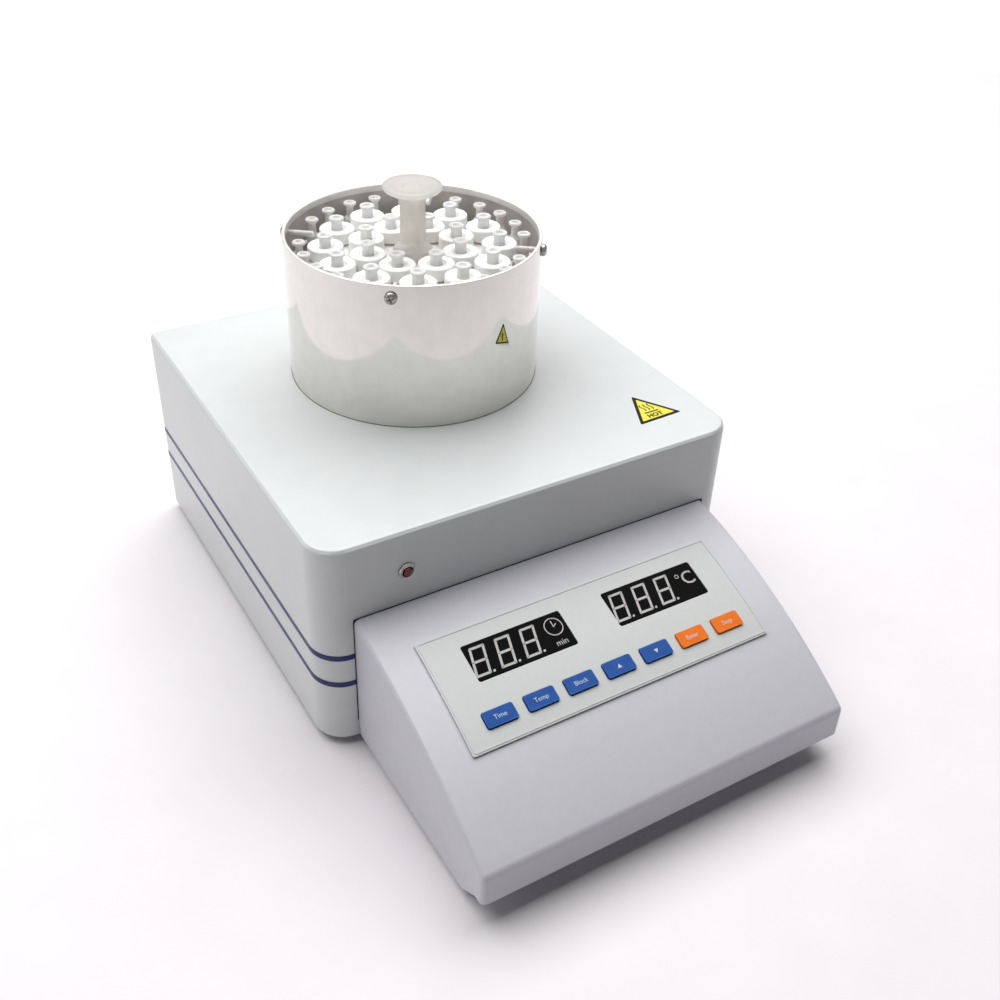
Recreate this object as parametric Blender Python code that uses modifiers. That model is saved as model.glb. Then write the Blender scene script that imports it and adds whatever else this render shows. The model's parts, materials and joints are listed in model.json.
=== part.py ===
"""Dry block heater: an analytical lab block heater with a sloping control console.

The frame is in metres, +Z up. The origin is the middle of the footprint, on the bench.
The console faces -Y, and the block with its shield stands on the rear housing.
"""

import math

import bmesh
import bpy
from mathutils import Matrix, Vector

# ---------------------------------------------------------------- driving sizes
GAP = 0.0003  # between pieces that touch
FOOT_H = 0.005
FOOT_R = 0.008
FOOT_INSET = 0.022

BOX_W = 0.230
BOX_D = 0.230
BOX_H = 0.113
BOX_WALL = 0.002
BOX_FRONT_R = 0.0153
BOX_BACK_R = 0.003
BOX_TOP_FILLET = 0.003
BASE_T = 0.002

CONSOLE_W = 0.1976
CONSOLE_L = 0.118
CONSOLE_H = 0.0727
CONSOLE_WALL = 0.002
CONSOLE_FILLET = 0.0025
LIP_TOP = 0.0255
LIP_BOTTOM = 0.0088
TOP_BULGE = 0.0068  # rise of the curved top over its chord
TOP_SEGMENTS = 14
TRAY_SETBACK = 0.006
TRAY_FLOOR = 0.0025
TRAY_WALL = 0.003
TRAY_SLOPE = 0.0115  # how far the tray's front leans back, top to bottom

SHIELD_WALL = 0.001
SHIELD_CLEARANCE = 0.0013  # between the insulation and the shield
SHIELD_H = 0.0757
SHIELD_Y = 0.0167  # the shield's axis, behind the middle of the housing
ROUND_STEPS = 48

SCREW_BELOW_RIM = 0.006
SCREW_FIRST_AZIMUTH = 54
SCREW_COUNT = 4
SCREW_SHAFT_R = 0.0015
SCREW_HEAD_R = 0.0031
SCREW_HEAD_H = 0.0022
SCREW_LENGTH = 0.0143
SCREW_CLEARANCE = 0.0003

INSULATION_WALL = 0.0022
INSULATION_FLOOR = 0.020
PAD_H = 0.0155
ELEMENT_H = 0.008
ELEMENT_INSET = 0.0035
BLOCK_R = 0.0605
BLOCK_BELOW_RIM = 0.0180

RACK_INSET = 0.007  # the rack's edge, inside the block's
RACK_T = 0.003
NOTCH_W = 0.005
VIAL_R = 0.0062
VIAL_LENGTH = 0.100
VIAL_STEPS = 12
VIAL_RINGS = ((0.0250, 8, 0), (0.0440, 12, 6))  # pitch radius, count, first azimuth
CAP_R = 0.0091
CAP_H = 0.0070
STOPPER_R = 0.0039
STOPPER_NECK_R = 0.0028
STOPPER_H = 0.0055
STOPPER_RIM_H = 0.0014
HOLE_CLEARANCE = 0.0004
WELL_CLEARANCE = 0.0006
WELL_SPARE = 0.005
SMALL_WELL_R = 0.0027
SMALL_WELL_DEPTH = 0.040
SMALL_RING_INSET = 0.0035  # from the block's edge
SMALL_FIRST_AZIMUTH = 9
SMALL_PITCH = 15

HANDLE_HUB_R = 0.010
HANDLE_HUB_H = 0.0066
HANDLE_STEM_R = 0.0065
HANDLE_TOP_R = 0.015
HANDLE_TOP_T = 0.0025
HANDLE_ABOVE_RIM = 0.0235
HANDLE_DISH = 0.001

PROBE_R = 0.002
PROBE_LENGTH = 0.060
CUTOUT_R = 0.0075
CUTOUT_H = 0.007

PANEL_W = 0.162
PANEL_L = 0.058
PANEL_T = 0.0008
PANEL_FROM_TOP = 0.0232  # along the curved top, from its back edge
PANEL_CORNER_R = 0.0009
WINDOW_W = 0.0515
WINDOW_L = 0.0185
WINDOW_CORNER_R = 0.0007
WINDOW_FROM_TOP = 0.0420
WINDOW_X = (-0.0365, 0.0392)
DISPLAY_RECESS = 0.0010
DISPLAY_T = 0.0075
BOARD_T = 0.0016
KEY_W = 0.0153
KEY_L = 0.0077
KEY_PITCH = 0.0209
KEY_MIDDLE_X = 0.0010
KEY_FROM_TOP = 0.0690
KEY_PROUD = 0.0010
KEY_TRAVEL = 0.0006
KEY_CORNER_R = 0.0009
KEY_FLANGE = 0.0010
KEY_FLANGE_T = 0.0014
TACT_W = 0.006
KEY_NAMES = ("time", "temperature", "block", "up", "down", "enter", "stop")

LED_X = -0.0722
LED_Z = 0.0915
LED_BEZEL_R = 0.0040
LED_BEZEL_PROUD = 0.0018
LED_BARREL_R = 0.0030
LED_LENS_R = 0.0022
LED_LENS_PROUD = 0.0030
LED_DEPTH = 0.009

HARNESS_W = 0.060
HARNESS_H = 0.020
HARNESS_Z = 0.040

INLET_X = 0.070
INLET_Z = 0.042
INLET_FLANGE = (0.0310, 0.0500)
INLET_BODY = (0.0275, 0.0465)
INLET_DEPTH = 0.020
FLANGE_T = 0.0020
SOCKET = (0.0250, 0.0175)
SOCKET_DEPTH = 0.0150
SOCKET_DROP = 0.0105  # the socket's middle, below the module's middle
PIN_SIZE = (0.0020, 0.0120, 0.0040)
PIN_PLACES = ((-0.0070, -0.0020), (0.0070, -0.0020), (0.0, 0.0020))
DRAWER = (0.0220, 0.0140)
DRAWER_DEPTH = 0.0150
DRAWER_RISE = 0.0120
DRAWER_LIP = (0.0080, 0.0030)
DRAWER_LIP_PROUD = 0.0012

SWITCH_X = 0.030
SWITCH_Z = 0.042
SWITCH_FLANGE = (0.0170, 0.0240)
SWITCH_BODY = (0.0148, 0.0214)
SWITCH_DEPTH = 0.0140  # the pocket is this deep, and leaves a floor as thick as the flange
SWITCH_WALL = 0.0010
ROCKER_HALF = 0.0083
ROCKER_END = 0.0010
ROCKER_VALLEY = -0.0006
ROCKER_PIVOT = -0.0040
ROCKER_HEEL = -0.0085
ROCKER_TILT = math.radians(8)
ROCKER_SIDE_GAP = 0.0004

VENT_COUNT = 8
VENT_W = 0.003
VENT_H = 0.032
VENT_PITCH = 0.009
VENT_X = -0.060
VENT_Z = 0.060

POWER_BOARD_L = 0.110
POWER_BOARD_INSET = 0.010  # from the insulation
POWER_BOARD_LIFT = 0.008
RELAY = (0.018, 0.028, 0.016)
HEAT_SINK = (0.024, 0.030, 0.026)
TRANSFORMER_CORE = (0.034, 0.046, 0.038)
TRANSFORMER_COIL = (0.040, 0.026, 0.030)
SIDE_BAY_INSET = 0.004

# ---------------------------------------------------------------- sizes that follow
BASE_Z = FOOT_H + GAP
BOX_TOP = BASE_Z + BOX_H
RIM_Z = BOX_TOP + GAP + SHIELD_H
INSULATION_IN_R = BLOCK_R + GAP
INSULATION_R = INSULATION_IN_R + INSULATION_WALL
SHIELD_IN_R = INSULATION_R + SHIELD_CLEARANCE
SHIELD_R = SHIELD_IN_R + SHIELD_WALL
MOUTH_R = INSULATION_R + GAP
FLOOR_TOP = BASE_Z + BASE_T
PAD_Z = FLOOR_TOP + GAP
CUP_Z = PAD_Z + PAD_H + GAP
ELEMENT_Z = CUP_Z + INSULATION_FLOOR + GAP
ELEMENT_R = BLOCK_R - ELEMENT_INSET
RACK_R = BLOCK_R - RACK_INSET
BLOCK_Z = ELEMENT_Z + ELEMENT_H + GAP
BLOCK_TOP = RIM_Z - BLOCK_BELOW_RIM
RACK_Z = BLOCK_TOP + GAP
RACK_TOP = RACK_Z + RACK_T
CAP_Z = RACK_TOP + GAP
VIAL_BOTTOM = CAP_Z - VIAL_LENGTH
WELL_BOTTOM = VIAL_BOTTOM - WELL_SPARE
SMALL_RING_R = BLOCK_R - SMALL_RING_INSET

ROCKER_REACH = (
    ROCKER_PIVOT
    + (ROCKER_END - ROCKER_PIVOT) * math.cos(ROCKER_TILT)
    + ROCKER_HALF * math.sin(ROCKER_TILT)
)
REAR_PROUD = GAP + FLANGE_T + max(ROCKER_REACH, DRAWER_LIP_PROUD)
LIP_Y = -(CONSOLE_L + BOX_D + REAR_PROUD) / 2
FRONT_Y = LIP_Y + CONSOLE_L
REAR_Y = FRONT_Y + BOX_D
BOX_Y = (FRONT_Y + REAR_Y) / 2
AXIS_Y = BOX_Y + SHIELD_Y
CONSOLE_BACK = FRONT_Y - GAP
FLANGE_FACE = REAR_Y + GAP + FLANGE_T
COVER_T = CONSOLE_WALL + PANEL_T


# ---------------------------------------------------------------- the curved top
class CurvedTop:
    """The arc from the console's back top edge to its lip, as distances along it."""

    def __init__(self):
        back = Vector((CONSOLE_BACK, BASE_Z + CONSOLE_H))
        lip = Vector((LIP_Y, BASE_Z + LIP_TOP))
        chord = lip - back
        out = Vector((chord.y, -chord.x)).normalized()
        if out.y < 0:
            out = -out
        half = chord.length / 2
        self.radius = (half * half + TOP_BULGE * TOP_BULGE) / (2 * TOP_BULGE)
        self.centre = (back + lip) / 2 - out * (self.radius - TOP_BULGE)
        start = back - self.centre
        end = lip - self.centre
        self.start = math.atan2(start.y, start.x)
        self.end = math.atan2(end.y, end.x)

    def angle(self, along):
        return self.start + along / self.radius

    def point(self, angle, lift=0.0):
        reach = self.radius + lift
        return (
            self.centre.x + reach * math.cos(angle),
            self.centre.y + reach * math.sin(angle),
        )

    def arc(self, first, last, steps, lift=0.0):
        turn = (last - first) / steps
        return [self.point(first + turn * i, lift) for i in range(steps + 1)]


TOP = CurvedTop()


# ---------------------------------------------------------------- scene helpers
def clear_scene():
    for old in list(bpy.data.objects):
        bpy.data.objects.remove(old, do_unlink=True)


def new_collection(name):
    collection = bpy.data.collections.new(name)
    bpy.context.scene.collection.children.link(collection)
    return collection


clear_scene()
PARTS = new_collection("dry_block_heater")
CUTTERS = new_collection("cutters_and_joins")
FINISHES = {}


def finish(name, colour, roughness, metallic=0.0):
    """A material with one colour, made once for each name."""
    if name not in FINISHES:
        material = bpy.data.materials.new(name)
        material.use_nodes = True
        shader = material.node_tree.nodes["Principled BSDF"]
        shader.inputs["Base Color"].default_value = (*colour, 1.0)
        shader.inputs["Roughness"].default_value = roughness
        shader.inputs["Metallic"].default_value = metallic
        FINISHES[name] = material
    return FINISHES[name]


def white_paint():
    return finish("white_paint", (0.82, 0.83, 0.85), 0.35)


def grey_plastic():
    return finish("grey_plastic", (0.60, 0.59, 0.63), 0.45)


def black_plastic():
    return finish("black_plastic", (0.02, 0.02, 0.02), 0.5)


def polished_steel():
    return finish("polished_steel", (0.75, 0.73, 0.73), 0.12, 1.0)


def place(name, mesh, material, location=(0, 0, 0), rotation=(0, 0, 0), parent=None):
    """A named sub-part from a mesh, under the collection of parts."""
    part = bpy.data.objects.new(name, mesh)
    PARTS.objects.link(part)
    if not mesh.materials:
        mesh.materials.append(material)
    part.location = location
    part.rotation_euler = rotation
    part.parent = parent
    return part


def place_tool(name, mesh, location=(0, 0, 0), rotation=(0, 0, 0), parent=None):
    """A shape that cuts or joins a part and isn't a piece itself."""
    tool = bpy.data.objects.new(name, mesh)
    CUTTERS.objects.link(tool)
    tool.location = location
    tool.rotation_euler = rotation
    tool.parent = parent
    tool.hide_render = True
    tool.display_type = "WIRE"
    return tool


def combine(part, tool, operation):
    step = part.modifiers.new(f"{operation.lower()}_{tool.name}"[:60], "BOOLEAN")
    step.operation = operation
    step.object = tool
    return part


def cut(part, tool):
    return combine(part, tool, "DIFFERENCE")


def join(part, tool):
    return combine(part, tool, "UNION")


def to_mesh(shape, name):
    mesh = bpy.data.meshes.new(name)
    shape.normal_update()
    shape.to_mesh(mesh)
    shape.free()
    return mesh


def smooth(mesh, angle=35):
    mesh.shade_smooth()
    mesh.set_sharp_from_angle(angle=math.radians(angle))
    return mesh


def along(edge, axis):
    run = (edge.verts[1].co - edge.verts[0].co).normalized()
    return abs(run[axis]) > 0.999


# ---------------------------------------------------------------- shape helpers
def block_shape(size, centre=(0, 0, 0)):
    shape = bmesh.new()
    bmesh.ops.create_cube(shape, size=1.0)
    bmesh.ops.scale(shape, vec=size, verts=shape.verts)
    bmesh.ops.translate(shape, vec=centre, verts=shape.verts)
    return shape


def block_mesh(name, size, centre=(0, 0, 0)):
    return to_mesh(block_shape(size, centre), name)


def rounded_block(name, size, radius, axis=2, segments=3, centre=(0, 0, 0)):
    """A box whose four edges along one axis are rounded."""
    shape = block_shape(size, centre)
    edges = [edge for edge in shape.edges if along(edge, axis)]
    bmesh.ops.bevel(
        shape, geom=edges, offset=radius, segments=segments, affect="EDGES", profile=0.5
    )
    return to_mesh(shape, name)


def boxes_mesh(name, boxes):
    """Several separate boxes in one cutter, each a size and a centre."""
    shape = bmesh.new()
    for size, centre in boxes:
        made = bmesh.ops.create_cube(shape, size=1.0)["verts"]
        bmesh.ops.scale(shape, vec=size, verts=made)
        bmesh.ops.translate(shape, vec=centre, verts=made)
    return to_mesh(shape, name)


def rods_mesh(name, rods, steps):
    """Several separate upright rods in one mesh, each x, y, radius, bottom and top."""
    shape = bmesh.new()
    for x, y, radius, bottom, top in rods:
        bmesh.ops.create_cone(
            shape,
            cap_ends=True,
            segments=steps,
            radius1=radius,
            radius2=radius,
            depth=top - bottom,
            matrix=Matrix.Translation((x, y, (top + bottom) / 2)),
        )
    return to_mesh(shape, name)


def turned_mesh(name, profile, steps, closed=False):
    """A solid of revolution about Z from a profile of radius and height, top to bottom."""
    draft = bpy.data.meshes.new(f"{name}_profile")
    points = [(radius, 0.0, height) for radius, height in profile]
    edges = [(i, i + 1) for i in range(len(points) - 1)]
    if closed:
        edges.append((len(points) - 1, 0))
    draft.from_pydata(points, edges, [])
    holder = bpy.data.objects.new(f"{name}_profile", draft)
    CUTTERS.objects.link(holder)
    screw = holder.modifiers.new("turn", "SCREW")
    screw.axis = "Z"
    screw.angle = math.tau
    screw.steps = steps
    screw.render_steps = steps
    screw.use_merge_vertices = True
    screw.merge_threshold = 0.00001
    screw.use_smooth_shade = False
    view = bpy.context.evaluated_depsgraph_get()
    mesh = bpy.data.meshes.new_from_object(holder.evaluated_get(view))
    mesh.name = name
    bpy.data.objects.remove(holder, do_unlink=True)
    return smooth(mesh)


def disc_mesh(name, radius, bottom, top, steps=ROUND_STEPS):
    return turned_mesh(name, [(0, top), (radius, top), (radius, bottom), (0, bottom)], steps)


def prism_shape(outline, width):
    """An outline of (y, z) points made into a bar across X, centred on X = 0."""
    shape = bmesh.new()
    verts = [shape.verts.new((-width / 2, y, z)) for y, z in outline]
    face = shape.faces.new(verts)
    grown = bmesh.ops.extrude_face_region(shape, geom=[face])["geom"]
    moved = [item for item in grown if isinstance(item, bmesh.types.BMVert)]
    bmesh.ops.translate(shape, vec=(width, 0, 0), verts=moved)
    bmesh.ops.recalc_face_normals(shape, faces=shape.faces)
    return shape


def ring_places(radius, count, first):
    """Azimuth and x, y of each place on a ring, round the block's axis."""
    step = 360 / count
    places = []
    for i in range(count):
        turn = math.radians(first + step * i)
        places.append((turn, radius * math.cos(turn), radius * math.sin(turn)))
    return places


def solidify(part, thickness):
    """Wall thickness grown inwards from an open skin."""
    wall = part.modifiers.new("wall", "SOLIDIFY")
    wall.thickness = thickness
    wall.offset = -1.0
    wall.use_even_offset = True
    return part


# ---------------------------------------------------------------- rear housing
def housing_skin():
    """The housing's outer faces: round front corners, a soft top edge, no bottom."""
    shape = block_shape((BOX_W, BOX_D, BOX_H), (0, BOX_Y, BASE_Z + BOX_H / 2))
    upright = [edge for edge in shape.edges if along(edge, 2)]
    front = [edge for edge in upright if edge.verts[0].co.y < BOX_Y]
    back = [edge for edge in upright if edge.verts[0].co.y > BOX_Y]
    bmesh.ops.bevel(
        shape, geom=front, offset=BOX_FRONT_R, segments=8, affect="EDGES", profile=0.5
    )
    bmesh.ops.bevel(
        shape, geom=back, offset=BOX_BACK_R, segments=3, affect="EDGES", profile=0.5
    )
    rim = [
        edge
        for edge in shape.edges
        if all(abs(vert.co.z - BOX_TOP) < GAP / 10 for vert in edge.verts)
    ]
    bmesh.ops.bevel(
        shape, geom=rim, offset=BOX_TOP_FILLET, segments=3, affect="EDGES", profile=0.5
    )
    bottom = [face for face in shape.faces if face.normal.z < -0.9]
    bmesh.ops.delete(shape, geom=bottom, context="FACES_ONLY")
    return to_mesh(shape, "rear_housing")


def make_rear_housing():
    housing = place("rear_housing", smooth(housing_skin()), white_paint())
    solidify(housing, BOX_WALL)
    reach = 4 * BOX_WALL
    mouth = rods_mesh(
        "mouth", [(0, AXIS_Y, MOUTH_R, BOX_TOP - reach, BOX_TOP + reach)], ROUND_STEPS
    )
    cut(housing, place_tool("cut_block_mouth", mouth))
    lamp = rods_mesh("lamp_hole", [(0, 0, LED_BARREL_R + GAP, -reach, reach)], 20)
    cut(
        housing,
        place_tool(
            "cut_lamp_hole", lamp, (LED_X, FRONT_Y, BASE_Z + LED_Z), (math.pi / 2, 0, 0)
        ),
    )
    openings = [
        (
            (HARNESS_W, reach, HARNESS_H),
            (0, FRONT_Y, BASE_Z + HARNESS_Z),
        ),
        (
            (INLET_BODY[0] + 2 * GAP, reach, INLET_BODY[1] + 2 * GAP),
            (INLET_X, REAR_Y, BASE_Z + INLET_Z),
        ),
        (
            (SWITCH_BODY[0] + 2 * GAP, reach, SWITCH_BODY[1] + 2 * GAP),
            (SWITCH_X, REAR_Y, BASE_Z + SWITCH_Z),
        ),
    ]
    for i in range(VENT_COUNT):
        x = VENT_X + VENT_PITCH * (i - (VENT_COUNT - 1) / 2)
        openings.append(((VENT_W, reach, VENT_H), (x, REAR_Y, BASE_Z + VENT_Z)))
    cut(housing, place_tool("cut_wall_openings", boxes_mesh("wall_openings", openings)))


def make_base_plate():
    inset = BOX_WALL + GAP
    size = (BOX_W - 2 * inset, BOX_D - 2 * inset, BASE_T)
    shape = block_shape(size, (0, BOX_Y, BASE_Z + BASE_T / 2))
    upright = [edge for edge in shape.edges if along(edge, 2)]
    front = [edge for edge in upright if edge.verts[0].co.y < BOX_Y]
    back = [edge for edge in upright if edge.verts[0].co.y > BOX_Y]
    for edges, radius in ((front, BOX_FRONT_R - inset), (back, BOX_BACK_R)):
        bmesh.ops.bevel(
            shape, geom=edges, offset=radius, segments=8, affect="EDGES", profile=0.5
        )
    plate = finish("zinc_plate", (0.55, 0.56, 0.57), 0.4, 0.9)
    place("base_plate", to_mesh(shape, "base_plate"), plate)


def make_feet():
    rubber = finish("rubber", (0.03, 0.03, 0.03), 0.8)
    profile = [(0, FOOT_H), (FOOT_R, FOOT_H), (FOOT_R * 0.85, 0), (0, 0)]
    mesh = turned_mesh("foot", profile, 20)
    half_back = BOX_W / 2 - FOOT_INSET
    half_front = CONSOLE_W / 2 - FOOT_INSET
    front_y = LIP_Y + TRAY_SETBACK + TRAY_SLOPE + FOOT_INSET / 2
    back_y = REAR_Y - FOOT_INSET
    spots = (
        ("foot_front_left", -half_front, front_y),
        ("foot_front_right", half_front, front_y),
        ("foot_rear_left", -half_back, back_y),
        ("foot_rear_right", half_back, back_y),
    )
    for name, x, y in spots:
        place(name, mesh, rubber, (x, y, 0))


# ---------------------------------------------------------------- block and shield
def make_heat_shield():
    bottom = BOX_TOP + GAP
    profile = [
        (SHIELD_R, RIM_Z),
        (SHIELD_R, bottom),
        (SHIELD_IN_R, bottom),
        (SHIELD_IN_R, RIM_Z),
    ]
    mesh = turned_mesh("heat_shield", profile, ROUND_STEPS, closed=True)
    shield = place("heat_shield", mesh, polished_steel(), (0, AXIS_Y, 0))
    hole = SCREW_SHAFT_R + SCREW_CLEARANCE
    for i, (turn, x, y) in enumerate(screw_places()):
        rod = rods_mesh(f"screw_hole_{i + 1}", [(0, 0, hole, -0.004, 0.004)], 12)
        spot = (x, AXIS_Y + y, RIM_Z - SCREW_BELOW_RIM)
        cut(shield, place_tool(f"cut_screw_hole_{i + 1}", rod, spot, (0, math.pi / 2, turn)))


def screw_places():
    return ring_places(SHIELD_R, SCREW_COUNT, SCREW_FIRST_AZIMUTH)


def make_shield_screws():
    """Pan-head screws whose shafts point at the block's axis."""
    steel = finish("nickel_steel", (0.45, 0.44, 0.43), 0.25, 1.0)
    head = GAP + SCREW_HEAD_H
    profile = [
        (0, head),
        (SCREW_HEAD_R * 0.6, head),
        (SCREW_HEAD_R, head - SCREW_HEAD_H * 0.5),
        (SCREW_HEAD_R, GAP),
        (SCREW_SHAFT_R, GAP),
        (SCREW_SHAFT_R, -SCREW_LENGTH),
        (0, -SCREW_LENGTH),
    ]
    mesh = turned_mesh("shield_screw", profile, 12)
    for i, (turn, x, y) in enumerate(screw_places()):
        spot = (x, AXIS_Y + y, RIM_Z - SCREW_BELOW_RIM)
        place(f"shield_screw_{i + 1}", mesh, steel, spot, (0, math.pi / 2, turn))


def vial_places():
    places = []
    for radius, count, first in VIAL_RINGS:
        places += [(x, y) for _, x, y in ring_places(radius, count, first)]
    return places


def small_places():
    """Places for the small tubes, missing where a shield screw comes in."""
    count = round(360 / SMALL_PITCH)
    screws = [turn for turn, _, _ in screw_places()]
    free = []
    for turn, x, y in ring_places(SMALL_RING_R, count, SMALL_FIRST_AZIMUTH):
        near = min(abs(math.remainder(turn - screw, math.tau)) for screw in screws)
        if near > math.radians(SMALL_PITCH / 2):
            free.append((x, y))
    return free


def make_heater_block():
    mesh = disc_mesh("heater_block", BLOCK_R, BLOCK_Z, BLOCK_TOP)
    dark = finish("anodised_block", (0.12, 0.11, 0.11), 0.45, 0.8)
    block = place("heater_block", mesh, dark, (0, AXIS_Y, 0))
    above = BLOCK_TOP + 0.002
    well = VIAL_R + WELL_CLEARANCE
    wells = [(x, y, well, WELL_BOTTOM, above) for x, y in vial_places()]
    cut(
        block,
        place_tool(
            "cut_wells", rods_mesh("wells", wells, VIAL_STEPS), (0, AXIS_Y, 0)
        ),
    )
    floor = BLOCK_TOP - SMALL_WELL_DEPTH
    small = [(x, y, SMALL_WELL_R, floor, above) for x, y in small_places()]
    probe = BLOCK_TOP - PROBE_LENGTH - 0.002
    small.append((0, 0, PROBE_R + GAP, probe, above))
    cut(
        block,
        place_tool("cut_small_wells", rods_mesh("small_wells", small, 8), (0, AXIS_Y, 0)),
    )


def make_block_stack():
    """What carries, heats, wraps and watches the block, from the floor up."""
    board = finish("calcium_silicate", (0.80, 0.78, 0.72), 0.9)
    pad = disc_mesh("support_pad", INSULATION_R, PAD_Z, PAD_Z + PAD_H)
    place("support_pad", pad, board, (0, AXIS_Y, 0))

    felt = finish("ceramic_felt", (0.85, 0.84, 0.80), 0.95)
    cup_top = BLOCK_TOP
    cup_floor = CUP_Z + INSULATION_FLOOR
    pocket = CUTOUT_R + GAP
    pocket_floor = cup_floor - CUTOUT_H - GAP
    profile = [
        (0, pocket_floor),
        (pocket, pocket_floor),
        (pocket, cup_floor),
        (INSULATION_IN_R, cup_floor),
        (INSULATION_IN_R, cup_top),
        (INSULATION_R, cup_top),
        (INSULATION_R, CUP_Z),
        (0, CUP_Z),
    ]
    cup = turned_mesh("insulation_cup", profile, ROUND_STEPS)
    place("insulation_cup", cup, felt, (0, AXIS_Y, 0))

    cutout = disc_mesh("thermal_cutout", CUTOUT_R, pocket_floor + GAP, cup_floor, 20)
    place("thermal_cutout", cutout, black_plastic(), (0, AXIS_Y, 0))

    mica = finish("cast_element", (0.50, 0.50, 0.48), 0.6, 0.6)
    element = disc_mesh("heating_element", ELEMENT_R, ELEMENT_Z, ELEMENT_Z + ELEMENT_H)
    place("heating_element", element, mica, (0, AXIS_Y, 0))

    steel = finish("probe_steel", (0.60, 0.60, 0.60), 0.3, 1.0)
    probe = disc_mesh("temperature_probe", PROBE_R, BLOCK_TOP - PROBE_LENGTH, BLOCK_TOP, 8)
    place("temperature_probe", probe, steel, (0, AXIS_Y, 0))


# ---------------------------------------------------------------- rack and vials
def make_rack():
    """The lift-out rack: plate, handle and vials, on one empty at the block's axis."""
    lift = bpy.data.objects.new("rack_lift_axis", None)
    PARTS.objects.link(lift)
    lift.location = (0, AXIS_Y, RACK_Z)

    plate_mesh = disc_mesh("tube_rack", RACK_R, 0, RACK_T)
    dark = finish("anodised_rack", (0.09, 0.085, 0.085), 0.4, 0.8)
    plate = place("tube_rack", plate_mesh, dark, parent=lift)
    hole = VIAL_R + HOLE_CLEARANCE
    holes = [(x, y, hole, -0.002, RACK_T + 0.002) for x, y in vial_places()]
    tool = rods_mesh("rack_holes", holes, VIAL_STEPS)
    cut(plate, place_tool("cut_rack_holes", tool, parent=lift))
    tip = SHIELD_R - SCREW_LENGTH - HOLE_CLEARANCE
    depth = RACK_R + 0.004 - tip
    size = (depth, NOTCH_W, 3 * RACK_T)
    for i, (turn, _, _) in enumerate(screw_places()):
        notch = block_mesh(f"notch_{i + 1}", size, (tip + depth / 2, 0, RACK_T / 2))
        cut(
            plate,
            place_tool(f"cut_notch_{i + 1}", notch, rotation=(0, 0, turn), parent=lift),
        )

    make_handle(lift)
    make_vials(lift)


def make_handle(lift):
    clear = finish("milky_polymer", (0.88, 0.86, 0.80), 0.3)
    foot = RACK_T + GAP
    top = RIM_Z + HANDLE_ABOVE_RIM - RACK_Z
    hub = foot + HANDLE_HUB_H
    under = top - HANDLE_TOP_T
    profile = [
        (0, top - HANDLE_DISH),
        (HANDLE_STEM_R, top - HANDLE_DISH),
        (HANDLE_TOP_R * 0.75, top),
        (HANDLE_TOP_R, top - HANDLE_TOP_T * 0.3),
        (HANDLE_TOP_R, under + HANDLE_TOP_T * 0.3),
        (HANDLE_TOP_R * 0.75, under),
        (HANDLE_STEM_R, under - HANDLE_TOP_T * 0.4),
        (HANDLE_STEM_R, hub),
        (HANDLE_HUB_R, hub),
        (HANDLE_HUB_R, foot),
        (0, foot),
    ]
    mesh = turned_mesh("lifting_handle", profile, 24)
    place("lifting_handle", mesh, clear, parent=lift)


def vial_mesh():
    """Tube, cap and stopper of one vial, turned about its own axis."""
    cap_bottom = CAP_Z - RACK_Z
    cap_top = cap_bottom + CAP_H
    stopper_top = cap_top + STOPPER_H
    profile = [
        (0, stopper_top),
        (STOPPER_R, stopper_top),
        (STOPPER_R, stopper_top - STOPPER_RIM_H),
        (STOPPER_NECK_R, stopper_top - STOPPER_RIM_H),
        (STOPPER_NECK_R, cap_top),
        (CAP_R, cap_top),
        (CAP_R, cap_bottom),
        (VIAL_R, cap_bottom),
        (VIAL_R, cap_bottom - VIAL_LENGTH + VIAL_R * 0.5),
        (VIAL_R * 0.5, cap_bottom - VIAL_LENGTH),
        (0, cap_bottom - VIAL_LENGTH),
    ]
    return turned_mesh("vial", profile, VIAL_STEPS)


def make_vials(lift):
    white = finish("white_polymer", (0.90, 0.90, 0.88), 0.35)
    mesh = vial_mesh()
    for i, (x, y) in enumerate(vial_places()):
        place(f"vial_{i + 1:02d}", mesh, white, (x, y, 0), parent=lift)


# ---------------------------------------------------------------- console
def make_console_shell():
    """The wedge cover: a curved top, flat sides and a short lip, open below and behind."""
    bottom = BASE_Z + LIP_BOTTOM
    spare = 2 * CONSOLE_WALL  # the skin runs on behind, and is trimmed to the housing
    arc = TOP.arc(TOP.angle(-spare), TOP.end, TOP_SEGMENTS)
    back_y = arc[0][0]
    outline = [(back_y, bottom), *arc, (LIP_Y, bottom)]
    shape = prism_shape(outline, CONSOLE_W)

    def is_open(face):
        middle = face.calc_center_median()
        below = abs(middle.z - bottom) < GAP
        behind = abs(middle.y - back_y) < GAP / 10
        return below or behind

    skip = [face for face in shape.faces if is_open(face)]
    side_edges = set()
    for face in shape.faces:
        if abs(face.normal.x) > 0.9:
            side_edges.update(face.edges)
    lip_edges = {
        edge
        for edge in shape.edges
        if all(
            abs(vert.co.y - LIP_Y) < GAP / 10 and vert.co.z > bottom + GAP
            for vert in edge.verts
        )
    }
    soft = [
        edge
        for edge in side_edges | lip_edges
        if not any(face in skip for face in edge.link_faces)
    ]
    bmesh.ops.bevel(
        shape, geom=soft, offset=CONSOLE_FILLET, segments=3, affect="EDGES", profile=0.5
    )
    shape.normal_update()
    bmesh.ops.delete(
        shape, geom=[face for face in shape.faces if is_open(face)], context="FACES_ONLY"
    )
    shell = place(
        "console_shell", smooth(to_mesh(shape, "console_shell"), 30), grey_plastic()
    )
    solidify(shell, CONSOLE_WALL)
    size = (2 * CONSOLE_W, CONSOLE_H, 3 * CONSOLE_H)
    trim = block_mesh("shell_trim", size, (0, CONSOLE_BACK + size[1] / 2, BASE_Z))
    return cut(shell, place_tool("cut_shell_back", trim))


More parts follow.
